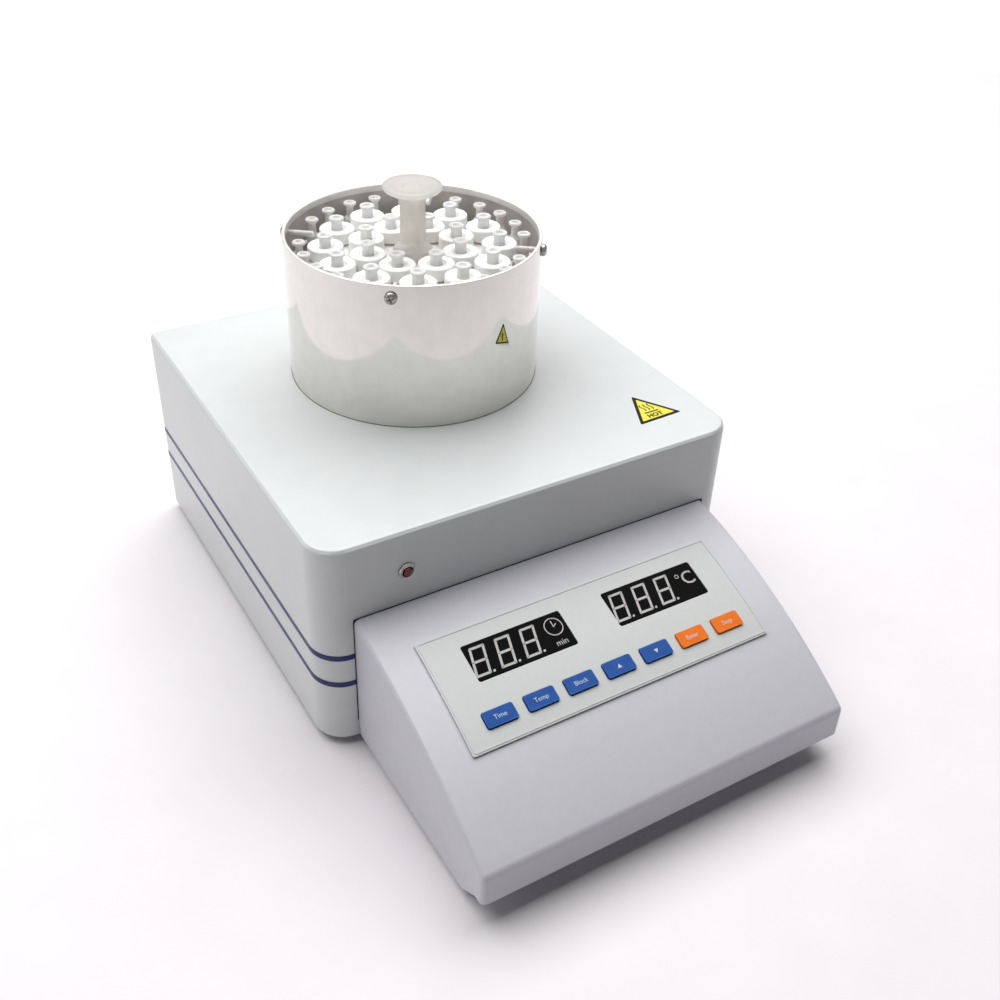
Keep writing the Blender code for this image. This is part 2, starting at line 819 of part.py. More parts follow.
def make_console_tray():
    """The tray under the console, flush with its sides and set back from the lip."""
    front = LIP_Y + TRAY_SETBACK
    top = BASE_Z + LIP_BOTTOM - GAP
    outline = [
        (CONSOLE_BACK, BASE_Z),
        (CONSOLE_BACK, top),
        (front, top),
        (front + TRAY_SLOPE, BASE_Z),
    ]
    mesh = to_mesh(prism_shape(outline, CONSOLE_W), "console_base")
    tray = place("console_base", mesh, grey_plastic())
    inner = (
        CONSOLE_W - 2 * TRAY_WALL,
        CONSOLE_BACK - front - 2 * TRAY_WALL - TRAY_SLOPE,
        LIP_BOTTOM,
    )
    centre = (
        0,
        (CONSOLE_BACK + front + TRAY_SLOPE) / 2,
        BASE_Z + TRAY_FLOOR + LIP_BOTTOM / 2,
    )
    pocket = block_mesh("tray_pocket", inner, centre)
    cut(tray, place_tool("cut_tray_pocket", pocket))


def panel_frame():
    """An empty on the curved top under the middle of the key panel, its Z facing out."""
    angle = TOP.angle(PANEL_FROM_TOP + PANEL_L / 2)
    y, z = TOP.point(angle)
    frame = bpy.data.objects.new("panel_frame", None)
    PARTS.objects.link(frame)
    frame.location = (0, y, z)
    frame.rotation_euler = (angle - math.pi / 2, 0, 0)
    return frame


def panel_y(from_top):
    """A distance along the curved top as local Y in the panel's frame, up the slope."""
    turn = (PANEL_FROM_TOP + PANEL_L / 2 - from_top) / TOP.radius
    return TOP.radius * math.sin(turn)


def key_places():
    first = KEY_MIDDLE_X - KEY_PITCH * (len(KEY_NAMES) - 1) / 2
    return [(name, first + KEY_PITCH * i) for i, name in enumerate(KEY_NAMES)]


def make_key_panel(shell, frame):
    """The curved label with its windows and key holes, which also pierce the shell."""
    first = TOP.angle(PANEL_FROM_TOP)
    last = TOP.angle(PANEL_FROM_TOP + PANEL_L)
    outline = TOP.arc(first, last, 10, GAP + PANEL_T)
    outline += TOP.arc(last, first, 10, GAP)
    shape = prism_shape(outline, PANEL_W)
    corners = []
    for edge in shape.edges:
        low, high = edge.verts
        same_side = abs(low.co.x - high.co.x) < GAP / 10
        if same_side and abs(edge.calc_length() - PANEL_T) < GAP / 10:
            corners.append(edge)
    bmesh.ops.bevel(
        shape, geom=corners, offset=PANEL_CORNER_R, segments=3, affect="EDGES", profile=0.5
    )
    pale = finish("panel_label", (0.74, 0.76, 0.74), 0.4)
    panel = place("key_panel", to_mesh(shape, "key_panel"), pale)

    deep = 6 * COVER_T
    key_y = panel_y(KEY_FROM_TOP)
    holes = bmesh.new()
    hole_sizes = [(x, key_y, KEY_W, KEY_L, KEY_CORNER_R) for _, x in key_places()]
    window_y = panel_y(WINDOW_FROM_TOP)
    hole_sizes += [(x, window_y, WINDOW_W, WINDOW_L, WINDOW_CORNER_R) for x in WINDOW_X]
    for x, y, wide, tall, radius in hole_sizes:
        size = (wide + 2 * GAP, tall + 2 * GAP, deep)
        single = rounded_block("panel_hole", size, radius + GAP, segments=2)
        single.transform(Matrix.Translation((x, y, 0)))
        holes.from_mesh(single)
        bpy.data.meshes.remove(single)
    tool = place_tool("cut_panel_holes", to_mesh(holes, "panel_holes"), parent=frame)
    cut(shell, tool)
    cut(panel, tool)


def make_keys(frame):
    """Each key is a cap through the panel, with a flange that holds it under the shell."""
    blue = finish("blue_key", (0.03, 0.12, 0.36), 0.4)
    orange = finish("orange_key", (0.80, 0.16, 0.03), 0.4)
    y = panel_y(KEY_FROM_TOP)
    drop = y * y / (2 * TOP.radius)
    top = GAP + PANEL_T + KEY_PROUD - drop
    flange_top = -CONSOLE_WALL - drop - 2 * GAP
    bottom = flange_top - KEY_FLANGE_T
    cap_size = (KEY_W, KEY_L, top - bottom)
    flange_size = (KEY_W + 2 * KEY_FLANGE, KEY_L + 2 * KEY_FLANGE, KEY_FLANGE_T)
    for name, x in key_places():
        paint = orange if name in ("enter", "stop") else blue
        centre = (0, 0, (top + bottom) / 2)
        mesh = rounded_block(
            f"key_{name}", cap_size, KEY_CORNER_R, segments=2, centre=centre
        )
        key = place(f"key_{name}", mesh, paint, (x, y, 0), parent=frame)
        flange = block_mesh(
            f"flange_{name}", flange_size, (x, y, bottom + KEY_FLANGE_T / 2 + GAP / 10)
        )
        join(key, place_tool(f"join_flange_{name}", flange, parent=frame))
    return bottom


def make_displays_and_board(frame, key_bottom):
    """The two digit modules and the board that carries them and the key switches."""
    black = finish("display_face", (0.012, 0.012, 0.014), 0.35)
    board_top = -DISPLAY_RECESS - DISPLAY_T - GAP
    module = rounded_block(
        "display_module",
        (WINDOW_W, WINDOW_L, DISPLAY_T),
        WINDOW_CORNER_R,
        segments=2,
        centre=(0, 0, -DISPLAY_T / 2),
    )
    window_y = panel_y(WINDOW_FROM_TOP)
    for name, x in zip(("time_display", "temperature_display"), WINDOW_X):
        place(name, module, black, (x, window_y, -DISPLAY_RECESS), parent=frame)

    green = finish("circuit_board", (0.02, 0.16, 0.07), 0.5)
    size = (PANEL_W - 0.004, PANEL_L - 0.006, BOARD_T)
    mesh = block_mesh("control_board", size, (0, 0, board_top - BOARD_T / 2))
    board = place("control_board", mesh, green, parent=frame)
    tact_top = key_bottom - KEY_TRAVEL - GAP
    tact_h = tact_top - board_top + BOARD_T / 2
    key_y = panel_y(KEY_FROM_TOP)
    tacts = [
        ((TACT_W, TACT_W, tact_h), (x, key_y, tact_top - tact_h / 2))
        for _, x in key_places()
    ]
    join(board, place_tool("join_tacts", boxes_mesh("tacts", tacts), parent=frame))


# ---------------------------------------------------------------- lamp, inlet, switch
def make_lamp():
    """The pilot lamp: a flanged nickel bezel through the front wall, and its lens."""
    nickel = finish("nickel", (0.70, 0.68, 0.64), 0.2, 1.0)
    bore = LED_LENS_R + GAP
    profile = [
        (LED_BEZEL_R * 0.85, LED_BEZEL_PROUD),
        (LED_BEZEL_R, LED_BEZEL_PROUD * 0.6),
        (LED_BEZEL_R, GAP),
        (LED_BARREL_R, GAP),
        (LED_BARREL_R, -LED_DEPTH),
        (bore, -LED_DEPTH),
        (bore, LED_BEZEL_PROUD),
    ]
    spot = (LED_X, FRONT_Y, BASE_Z + LED_Z)
    turn = (math.pi / 2, 0, 0)
    bezel = turned_mesh("indicator_bezel", profile, 20, closed=True)
    place("indicator_bezel", bezel, nickel, spot, turn)
    red = finish("red_lens", (0.25, 0.01, 0.02), 0.15)
    dome = [
        (0, LED_LENS_PROUD),
        (LED_LENS_R * 0.6, LED_LENS_PROUD - 0.0003),
        (LED_LENS_R, LED_LENS_PROUD - 0.0012),
        (LED_LENS_R, -LED_DEPTH),
        (0, -LED_DEPTH),
    ]
    place("indicator_lens", turned_mesh("indicator_lens", dome, 20), red, spot, turn)


def make_inlet():
    """The mains inlet module: a flanged body, a three-pin socket and a fuse drawer."""
    middle = (INLET_X, REAR_Y + GAP, BASE_Z + INLET_Z)
    body_size = (INLET_BODY[0], INLET_DEPTH + FLANGE_T, INLET_BODY[1])
    body = block_mesh("power_inlet", body_size, (0, (FLANGE_T - INLET_DEPTH) / 2, 0))
    inlet = place("power_inlet", body, black_plastic(), middle)
    overlap = GAP / 10
    flange_size = (INLET_FLANGE[0], FLANGE_T - overlap, INLET_FLANGE[1])
    flange = block_mesh("inlet_flange", flange_size, (0, (FLANGE_T - overlap) / 2, 0))
    join(inlet, place_tool("join_inlet_flange", flange, middle))

    socket_size = (SOCKET[0], SOCKET_DEPTH, SOCKET[1])
    socket_y = FLANGE_T - SOCKET_DEPTH / 2 + overlap
    drawer_depth = DRAWER_DEPTH + GAP
    pocket_size = (DRAWER[0] + 2 * GAP, drawer_depth, DRAWER[1] + 2 * GAP)
    pocket_y = FLANGE_T - drawer_depth / 2 + overlap
    hollows = [
        (socket_size, (0, socket_y, -SOCKET_DROP)),
        (pocket_size, (0, pocket_y, DRAWER_RISE)),
    ]
    cut(inlet, place_tool("cut_inlet", boxes_mesh("inlet_hollows", hollows), middle))
    root = FLANGE_T - SOCKET_DEPTH - 0.001
    pins = [
        (PIN_SIZE, (x, root + PIN_SIZE[1] / 2, z - SOCKET_DROP)) for x, z in PIN_PLACES
    ]
    join(inlet, place_tool("join_pins", boxes_mesh("inlet_pins", pins), middle))

    drawer_mesh = block_mesh(
        "fuse_drawer", (DRAWER[0], DRAWER_DEPTH, DRAWER[1]), (0, -DRAWER_DEPTH / 2, 0)
    )
    spot = (INLET_X, FLANGE_FACE, BASE_Z + INLET_Z + DRAWER_RISE)
    drawer = place("fuse_drawer", drawer_mesh, black_plastic(), spot)
    lip_depth = DRAWER_LIP_PROUD + 0.001
    lip = block_mesh(
        "drawer_lip",
        (DRAWER_LIP[0], lip_depth, DRAWER_LIP[1]),
        (0, DRAWER_LIP_PROUD - lip_depth / 2, DRAWER[1] / 2 - DRAWER_LIP[1]),
    )
    join(drawer, place_tool("join_drawer_lip", lip, spot))


def make_switch():
    """The mains switch: a flanged frame with a rocker on a pivot across it."""
    middle = (SWITCH_X, REAR_Y + GAP, BASE_Z + SWITCH_Z)
    body_size = (SWITCH_BODY[0], SWITCH_DEPTH + FLANGE_T, SWITCH_BODY[1])
    body = block_mesh("switch_frame", body_size, (0, (FLANGE_T - SWITCH_DEPTH) / 2, 0))
    frame = place("switch_frame", body, black_plastic(), middle)
    overlap = GAP / 10
    flange_size = (SWITCH_FLANGE[0], FLANGE_T - overlap, SWITCH_FLANGE[1])
    flange = block_mesh("switch_flange", flange_size, (0, (FLANGE_T - overlap) / 2, 0))
    join(frame, place_tool("join_switch_flange", flange, middle))
    pocket_size = (
        SWITCH_BODY[0] - 2 * SWITCH_WALL,
        SWITCH_DEPTH,
        SWITCH_BODY[1] - 2 * SWITCH_WALL,
    )
    pocket_y = FLANGE_T - SWITCH_DEPTH / 2 + overlap
    pocket = block_mesh("switch_pocket", pocket_size, (0, pocket_y, 0))
    cut(frame, place_tool("cut_switch_pocket", pocket, middle))

    lever = ROCKER_END - ROCKER_PIVOT
    heel = ROCKER_HEEL - ROCKER_PIVOT
    outline = [
        (ROCKER_VALLEY - ROCKER_PIVOT, 0),
        (lever, ROCKER_HALF),
        (0, ROCKER_HALF),
        (heel, ROCKER_HALF * 0.4),
        (heel, -ROCKER_HALF * 0.4),
        (0, -ROCKER_HALF),
        (lever, -ROCKER_HALF),
    ]
    wide = pocket_size[0] - 2 * ROCKER_SIDE_GAP
    mesh = to_mesh(prism_shape(outline, wide), "power_rocker")
    pivot = (SWITCH_X, FLANGE_FACE + ROCKER_PIVOT, BASE_Z + SWITCH_Z)
    red = finish("rocker_plastic", (0.03, 0.03, 0.03), 0.35)
    place("power_rocker", mesh, red, pivot, (-ROCKER_TILT, 0, 0))


# ---------------------------------------------------------------- power electronics
def make_power_board():
    """The board in the right-hand bay, with its relay and heat sink."""
    inner = INSULATION_R + POWER_BOARD_INSET
    outer = BOX_W / 2 - BOX_WALL - SIDE_BAY_INSET
    x = (inner + outer) / 2
    z = FLOOR_TOP + POWER_BOARD_LIFT
    green = finish("circuit_board", (0.02, 0.16, 0.07), 0.5)
    size = (outer - inner, POWER_BOARD_L, BOARD_T)
    spot = (x, BOX_Y, z)
    mesh = block_mesh("power_board", size, (0, 0, BOARD_T / 2))
    board = place("power_board", mesh, green, spot)
    sunk = BOARD_T / 2
    parts = [
        (RELAY, (0.004, 0.034, sunk + RELAY[2] / 2)),
        (HEAT_SINK, (0.003, -0.030, sunk + HEAT_SINK[2] / 2)),
    ]
    post_h = POWER_BOARD_LIFT + sunk - GAP
    for side in (-1, 1):
        for end in (-1, 1):
            place_xy = (side * (size[0] / 2 - 0.004), end * (size[1] / 2 - 0.004))
            parts.append(((0.005, 0.005, post_h), (*place_xy, sunk - post_h / 2)))
    join(board, place_tool("join_board_parts", boxes_mesh("board_parts", parts), spot))


def make_transformer():
    """The supply transformer in the left-hand bay: a laminated core and its coil."""
    x = -(BOX_W / 2 - BOX_WALL - SIDE_BAY_INSET - TRANSFORMER_COIL[0] / 2)
    spot = (x, REAR_Y - 0.050, FLOOR_TOP + GAP)
    core = TRANSFORMER_CORE
    steel = finish("lamination_steel", (0.20, 0.20, 0.21), 0.5, 0.7)
    mesh = block_mesh("transformer", core, (0, 0, core[2] / 2))
    transformer = place("transformer", mesh, steel, spot)
    coil = block_mesh("coil", TRANSFORMER_COIL, (0, 0, core[2] / 2))
    join(transformer, place_tool("join_coil", coil, spot))


# ---------------------------------------------------------------- assembly
def build():
    make_rear_housing()
    make_base_plate()
    make_feet()
    make_heat_shield()
    make_shield_screws()
    make_heater_block()
    make_block_stack()
    make_rack()
    shell = make_console_shell()
    make_console_tray()
    frame = panel_frame()
    make_key_panel(shell, frame)
    key_bottom = make_keys(frame)
    make_displays_and_board(frame, key_bottom)
    make_lamp()
    make_inlet()
    make_switch()
    make_power_board()
    make_transformer()


build()
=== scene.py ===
# %% [markdown]
# # A dry block heater
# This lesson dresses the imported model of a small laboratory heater: a painted housing, a polished
# heat shield round a block of capped vials, and a sloping console with displays and keys. The
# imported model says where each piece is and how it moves. So it is loaded first and stays put, and
# every piece made below is placed from it.
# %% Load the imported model
import json
import math
import bmesh
import bpy
from mathutils import Matrix, Vector
from mathutils.bvhtree import BVHTree


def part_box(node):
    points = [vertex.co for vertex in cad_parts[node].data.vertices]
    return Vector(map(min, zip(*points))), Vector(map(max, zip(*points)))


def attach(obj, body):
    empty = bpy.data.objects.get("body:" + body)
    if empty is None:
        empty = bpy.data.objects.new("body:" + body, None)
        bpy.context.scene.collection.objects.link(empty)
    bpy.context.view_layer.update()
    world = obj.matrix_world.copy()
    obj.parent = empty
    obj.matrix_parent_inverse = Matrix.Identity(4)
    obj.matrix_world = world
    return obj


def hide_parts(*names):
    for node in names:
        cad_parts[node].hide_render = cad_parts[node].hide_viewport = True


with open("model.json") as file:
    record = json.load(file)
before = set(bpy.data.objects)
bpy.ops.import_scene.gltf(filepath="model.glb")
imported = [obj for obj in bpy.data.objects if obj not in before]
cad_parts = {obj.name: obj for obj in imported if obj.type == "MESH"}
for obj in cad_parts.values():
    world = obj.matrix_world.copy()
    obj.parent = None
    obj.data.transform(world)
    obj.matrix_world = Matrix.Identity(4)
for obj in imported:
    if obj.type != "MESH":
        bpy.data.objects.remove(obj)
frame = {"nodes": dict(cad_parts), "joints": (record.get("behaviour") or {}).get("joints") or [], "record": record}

scene = bpy.context.scene
nodes = frame["nodes"]
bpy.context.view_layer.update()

# %% [markdown]
# ## Sizes and places
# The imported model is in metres, and most details are easier to think of in millimetres, so MM
# turns one into the other. A place is read from a node's box, or from how far its corners reach
# along a direction. The console's face slopes, and the keys' joints say by how much: a key moves
# straight into the face, so the opposite of its axis points out of it.
# %% Name the places that the pieces share
MM = 0.001


def middle(node):
    """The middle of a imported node's box."""
    low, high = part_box(node)
    return (low + high) / 2


def reach(node, direction):
    """How far a node reaches along a direction: the least and the most."""
    along = [corner.co.dot(direction) for corner in nodes[node].data.vertices]
    return min(along), max(along)


press = next(joint for joint in frame["joints"] if joint["name"] == "key_time_press")
FACE_OUT = -Vector(press["axis"]).normalized()
FACE_UP = FACE_OUT.cross(Vector((1, 0, 0))).normalized()
BOX_LOW, BOX_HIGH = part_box("rear_housing")
SHIELD_LOW, SHIELD_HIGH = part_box("heat_shield")
BLOCK_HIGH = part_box("heater_block")[1]
RACK_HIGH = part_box("tube_rack")[1]
AXIS = middle("heat_shield").xy
UPRIGHT = Vector((0, 0, 1))
FRONT_Y = BOX_LOW.y
RIM_Z = SHIELD_HIGH.z
print("face leans", round(math.degrees(math.acos(FACE_OUT.z)), 2), "degrees; rim", round(RIM_Z, 3))

# %% [markdown]
# ## The camera
# The camera stands in front and to the left, and looks down on the heater. A place, a point to
# look at and a small roll say all of it, and can be changed one by one. A matrix of twelve
# numbers says the same and nobody can read it.
# %% Set up the camera
CAMERA_PLACE = Vector((-0.2528, -0.42227, 0.42948))
CAMERA_AIM = Vector((0.01915, 0.01115, 0.06))
CAMERA_ROLL = math.radians(2.383)
LENS_MM, SENSOR_MM = 42.09, 36

camera = bpy.data.objects.new("camera", bpy.data.cameras.new("camera"))
camera.data.lens = LENS_MM
camera.data.sensor_width = SENSOR_MM
camera.data.clip_start = 0.01
facing = (CAMERA_AIM - CAMERA_PLACE).to_track_quat("-Z", "Y").to_matrix().to_4x4()
rolled = facing @ Matrix.Rotation(CAMERA_ROLL, 4, "Z")
camera.matrix_world = Matrix.Translation(CAMERA_PLACE) @ rolled
scene.collection.objects.link(camera)
scene.camera = camera
scene.view_settings.view_transform = "Standard"
print("camera distance", round((CAMERA_AIM - CAMERA_PLACE).length, 3))

# %% [markdown]
# ## Shader wiring
# A material is a small circuit of nodes. These helpers plug one socket into another, or set a
# plain value where there is nothing to plug in. Colours are easiest to choose as the numbers
# from 0 to 255 that a screen shows, so `screen` turns those into the light a shader wants.
# %% Helpers for wiring
def screen(red, green, blue):
    """A screen colour, 0 to 255, as the linear colour that a shader wants."""
    parts = [part / 255 for part in (red, green, blue)]
    linear = [p / 12.92 if p <= 0.04045 else ((p + 0.055) / 1.055) ** 2.4 for p in parts]
    return (*linear, 1.0)


def plug(tree, source, socket):
    """Link a socket, or set a plain value."""
    if isinstance(source, bpy.types.NodeSocket):
        tree.links.new(source, socket)
    else:
        socket.default_value = source


def maths(tree, operation, first, second=0.0, kind="ShaderNodeMath", result=0):
    """Arithmetic with two numbers, or with two vectors if the kind says so."""
    node = tree.nodes.new(kind)
    node.operation = operation
    plug(tree, first, node.inputs[0])
    plug(tree, second, node.inputs[1])
    return node.outputs[result]


def spread(tree, value, low, high, start=0.0, end=1.0):
    """Stretch a value from start..end to low..high, and stop at the ends."""
    node = tree.nodes.new("ShaderNodeMapRange")
    ends = {"Value": value, "From Min": start, "From Max": end, "To Min": low, "To Max": high}
    for label, source in ends.items():
        plug(tree, source, node.inputs[label])
    return node.outputs[0]


def mixed(tree, mask, first, second):
    """The first colour where the mask is 0, and the second where it is 1."""
    node = tree.nodes.new("ShaderNodeMix")
    node.data_type = "RGBA"
    colours_from = 6  # the sockets before it are for numbers and vectors
    plug(tree, mask, node.inputs[0])
    plug(tree, first, node.inputs[colours_from])
    plug(tree, second, node.inputs[colours_from + 1])
    return node.outputs[2]


def noise(tree, vector, scale, detail=2.0, roughness=0.5):
    node = tree.nodes.new("ShaderNodeTexNoise")
    plug(tree, vector, node.inputs["Vector"])
    plug(tree, scale, node.inputs["Scale"])
    node.inputs["Detail"].default_value = detail
    node.inputs["Roughness"].default_value = roughness
    return node.outputs["Fac"]


def set_numbers(node, numbers):
    """Plain values for a node's named sockets, with _ where a label has a space."""
    for label, value in numbers.items():
        node.inputs[label.replace("_", " ")].default_value = value


print("screen white is", screen(255, 255, 255))

# %% [markdown]
# ## Effects that several finishes share
# Paint, plastic and metal all need a fine grain that breaks up the highlight, cloudy marks where
# hands have been, a paler edge, or dust on what faces up. The paler edge is scuffed wear on most
# finishes and a painted highlight on the keys. Each is a node group that is built once and placed
# in each material with its own numbers. A change inside the group reaches every finish.
# %% Build the shared node groups
def effect(name, inputs, outputs):
    """A shader node group with named number inputs, and its two end nodes."""
    group = bpy.data.node_groups.new(name, "ShaderNodeTree")
    number = "NodeSocketFloat"
    for label, value in inputs.items():
        socket = group.interface.new_socket(name=label, in_out="INPUT", socket_type=number)
        socket.default_value = value
    for label in outputs:
        group.interface.new_socket(name=label, in_out="OUTPUT", socket_type=number)
    ends = group.nodes.new("NodeGroupInput"), group.nodes.new("NodeGroupOutput")
    return group, ends[0].outputs, ends[1].inputs


def own_place(tree):
    """Where a point is on its own piece, so that the pattern moves with the piece."""
    return tree.nodes.new("ShaderNodeTexCoord").outputs["Object"]


def surface_way(tree):
    """Which way the surface faces."""
    return tree.nodes.new("ShaderNodeNewGeometry").outputs["Normal"]


grain, given, result = effect("surface grain", {"Size mm": 0.4}, ("Height", "Shade"))
grain_scale = maths(grain, "DIVIDE", 1000.0, given["Size mm"])
plug(grain, noise(grain, own_place(grain), grain_scale, 3.0, 0.6), result["Height"])
broad_scale = maths(grain, "DIVIDE", grain_scale, 14.0)
plug(grain, noise(grain, own_place(grain), broad_scale, 4.0, 0.55), result["Shade"])

marks, given, result = effect("handling marks", {"Size mm": 25.0, "Amount": 1.0}, ("Mask",))
cloud_scale = maths(marks, "DIVIDE", 1000.0, given["Size mm"])
clouds = spread(marks, noise(marks, own_place(marks), cloud_scale, 5.0, 0.62), 0, 1, 0.35, 0.7)
plug(marks, maths(marks, "MULTIPLY", clouds, given["Amount"]), result["Mask"])

# Paler edges: scuffed wear on most finishes, and a painted highlight on the keys' edges.
scuffed_and_highlit_edges, given, result = effect("scuffed and highlit edges", {"Radius mm": 0.8, "Amount": 0.5}, ("Mask",))
rounding = scuffed_and_highlit_edges.nodes.new("ShaderNodeBevel")
rounding.samples = 4
plug(scuffed_and_highlit_edges, maths(scuffed_and_highlit_edges, "MULTIPLY", given["Radius mm"], MM), rounding.inputs["Radius"])
turn = maths(scuffed_and_highlit_edges, "DOT_PRODUCT", rounding.outputs[0], surface_way(scuffed_and_highlit_edges),
             "ShaderNodeVectorMath", "Value")
edge = spread(scuffed_and_highlit_edges, turn, 1, 0, 0.86, 0.995)
patchy = spread(scuffed_and_highlit_edges, noise(scuffed_and_highlit_edges, own_place(scuffed_and_highlit_edges), 260.0, 4.0), 0.25, 1, 0.35, 0.65)
scuff_and_highlight = maths(scuffed_and_highlit_edges, "MULTIPLY", edge, patchy)
plug(scuffed_and_highlit_edges, maths(scuffed_and_highlit_edges, "MULTIPLY", scuff_and_highlight, given["Amount"]), result["Mask"])

dust, given, result = effect("settled dust", {"Amount": 0.2}, ("Mask",))
facing_up = dust.nodes.new("ShaderNodeSeparateXYZ")
plug(dust, surface_way(dust), facing_up.inputs[0])
flat = maths(dust, "POWER", maths(dust, "MAXIMUM", facing_up.outputs["Z"], 0.0), 3.0)
specks = spread(dust, noise(dust, own_place(dust), 1400.0, 2.0, 0.8), 0, 1, 0.52, 0.72)
drift = spread(dust, noise(dust, own_place(dust), 30.0, 3.0), 0.3, 1, 0.35, 0.65)
settled = maths(dust, "MULTIPLY", maths(dust, "MULTIPLY", flat, specks), drift)
plug(dust, maths(dust, "MULTIPLY", settled, given["Amount"]), result["Mask"])
print("effects:", [group.name for group in bpy.data.node_groups])

# %% [markdown]
# ## One recipe for a finish
# Every finish is the same recipe with other numbers: two close colours mixed by the broad grain,
# a roughness that wanders where hands have been, and a bump from the fine grain. Numbers that are
# the same all over the surface, such as metallic or coat, are set on the shader's own socket.
# %% Define the recipe
DUST_GREY = screen(205, 203, 198)
made_finishes = {}


def use_effect(tree, group, **numbers):
    """Place a shared effect in a material, with its own numbers."""
    node = tree.nodes.new("ShaderNodeGroup")
    node.node_tree = group
    set_numbers(node, numbers)
    return node.outputs


def finish(name, dark, light, rough, size=0.4, relief=0.01, scuff_and_highlight=None, dusty=0.0, marked=25.0,
           **sockets):
    """A material: two close screen colours, a range of roughness, a grain's size and relief.

    The grain's size and relief, and the size of the handling marks, are in millimetres. The paler
    edge is a colour and how much of it shows: scuffed wear on most finishes, and a painted
    highlight on the keys.
    """
    dark, light = screen(*dark), screen(*light)
    material = bpy.data.materials.new(name)
    material.use_nodes = True
    tree = material.node_tree
    shader = tree.nodes["Principled BSDF"]
    texture = use_effect(tree, grain, Size_mm=size)
    colour = mixed(tree, spread(tree, texture["Shade"], 0, 1, 0.3, 0.7), dark, light)
    # A paler edge: scuffed wear on most finishes, and a painted highlight on the keys.
    if scuff_and_highlight:
        scuff_and_highlight_mask = use_effect(tree, scuffed_and_highlit_edges, Amount=scuff_and_highlight[1])
        colour = mixed(tree, scuff_and_highlight_mask["Mask"], colour, screen(*scuff_and_highlight[0]))
    wander = use_effect(tree, marks, Size_mm=marked)
    gloss = spread(tree, wander["Mask"], rough[0], rough[1])
    if dusty:
        film = use_effect(tree, dust, Amount=dusty)
        colour = mixed(tree, film["Mask"], colour, DUST_GREY)
        gloss = maths(tree, "ADD", gloss, maths(tree, "MULTIPLY", film["Mask"], 0.3))
    plug(tree, colour, shader.inputs["Base Color"])
    plug(tree, gloss, shader.inputs["Roughness"])
    bump = tree.nodes.new("ShaderNodeBump")
    bump.inputs["Strength"].default_value = 1.0
    bump.inputs["Distance"].default_value = relief * MM
    plug(tree, texture["Height"], bump.inputs["Height"])
    plug(tree, bump.outputs[0], shader.inputs["Normal"])
    set_numbers(shader, sockets)
    material.diffuse_color = light
    made_finishes[name] = material
    return material


def give_relief(material, height, depth_mm):
    """Another bump in place of the grain's."""
    bump = next(node for node in material.node_tree.nodes if node.type == "BUMP")
    bump.inputs["Distance"].default_value = depth_mm * MM
    plug(material.node_tree, height, bump.inputs["Height"])


print("recipe ready, with", len(bpy.data.node_groups), "effects to call on")

# %% [markdown]
# ## Painted and moulded finishes
# The housing is powder-coated sheet: almost white, satin, with the faint orange-peel skin of
# cured powder. The console is moulded plastic with a finer, drier grain and a hint of violet.
# The panel is a printed label, smoother than both. The keys are moulded in their own colour, and
# the paler colour on their edges is a painted highlight.
# %% Make the paints and plastics
WHITE_PAINT = finish(
    "white powder coat", (209, 212, 212), (212, 215, 215), (0.32, 0.38), 0.9, 0.010,
    scuff_and_highlight=((236, 238, 239), 0.35), dusty=0.08, Specular_IOR_Level=0.4, Coat_Weight=0.08,
    Coat_Roughness=0.25)
CONSOLE_GREY = finish(
    "grey console plastic", (200, 199, 206), (203, 202, 209), (0.38, 0.46), 0.35, 0.008,
    scuff_and_highlight=((222, 221, 228), 0.4), dusty=0.08)
PANEL_FILM = finish(
    "panel label", (200, 203, 201), (203, 206, 204), (0.38, 0.46), 0.25, 0.003,
    Specular_IOR_Level=0.35)
# The paler edge colour of the blue key is a painted highlight for the light on its edges.
KEY_BLUE = finish(
    "blue key", (22, 72, 146), (28, 82, 158), (0.36, 0.46), 0.3, 0.005,
    scuff_and_highlight=((96, 146, 206), 0.6), Specular_IOR_Level=0.15)
# The paler edge colour of the orange key is a painted highlight for the light on its edges.
KEY_ORANGE = finish(
    "orange key", (226, 108, 12), (233, 116, 18), (0.36, 0.46), 0.3, 0.005,
    scuff_and_highlight=((246, 160, 92), 0.6), Specular_IOR_Level=0.15)
DISPLAY_BLACK = finish(
    "display face", (5, 5, 6), (8, 8, 9), (0.22, 0.30), 0.3, 0.001, Specular_IOR_Level=0.02)
STRIPE_BLUE = finish(
    "blue stripe film", (26, 38, 92), (34, 48, 106), (0.30, 0.42), 0.4, 0.004,
    Specular_IOR_Level=0.3)
BLACK_PLASTIC = finish(
    "black moulding", (24, 24, 25), (34, 34, 35), (0.40, 0.58), 0.3, 0.012,
    scuff_and_highlight=((70, 70, 72), 0.5), dusty=0.2)
RUBBER = finish("foot rubber", (22, 22, 22), (36, 36, 36), (0.70, 0.88), 0.5, 0.03, dusty=0.3)
# Painted shade: the grey ring at the shield's foot stands for its contact shadow.
SHIELD_FOOT_SHADE_GREY = finish("grey shield foot shade", (128, 126, 122), (142, 140, 136), (0.5, 0.65), 0.5, 0.01)
PRINT_WHITE = finish("white print", (176, 188, 202), (198, 206, 216), (0.45, 0.6), 0.2, 0.003)
SEGMENT_GREY = finish("unlit segments", (164, 161, 158), (186, 183, 180), (0.35, 0.5), 0.3, 0.002)
STICKER_YELLOW = finish("yellow sticker", (222, 212, 44), (228, 220, 56), (0.35, 0.5), 0.4, 0.004)
STICKER_BLACK = finish(
    "black sticker", (16, 15, 13), (24, 23, 20), (0.35, 0.5), 0.4, 0.004, Specular_IOR_Level=0.1)
print(len(made_finishes), "finishes so far")

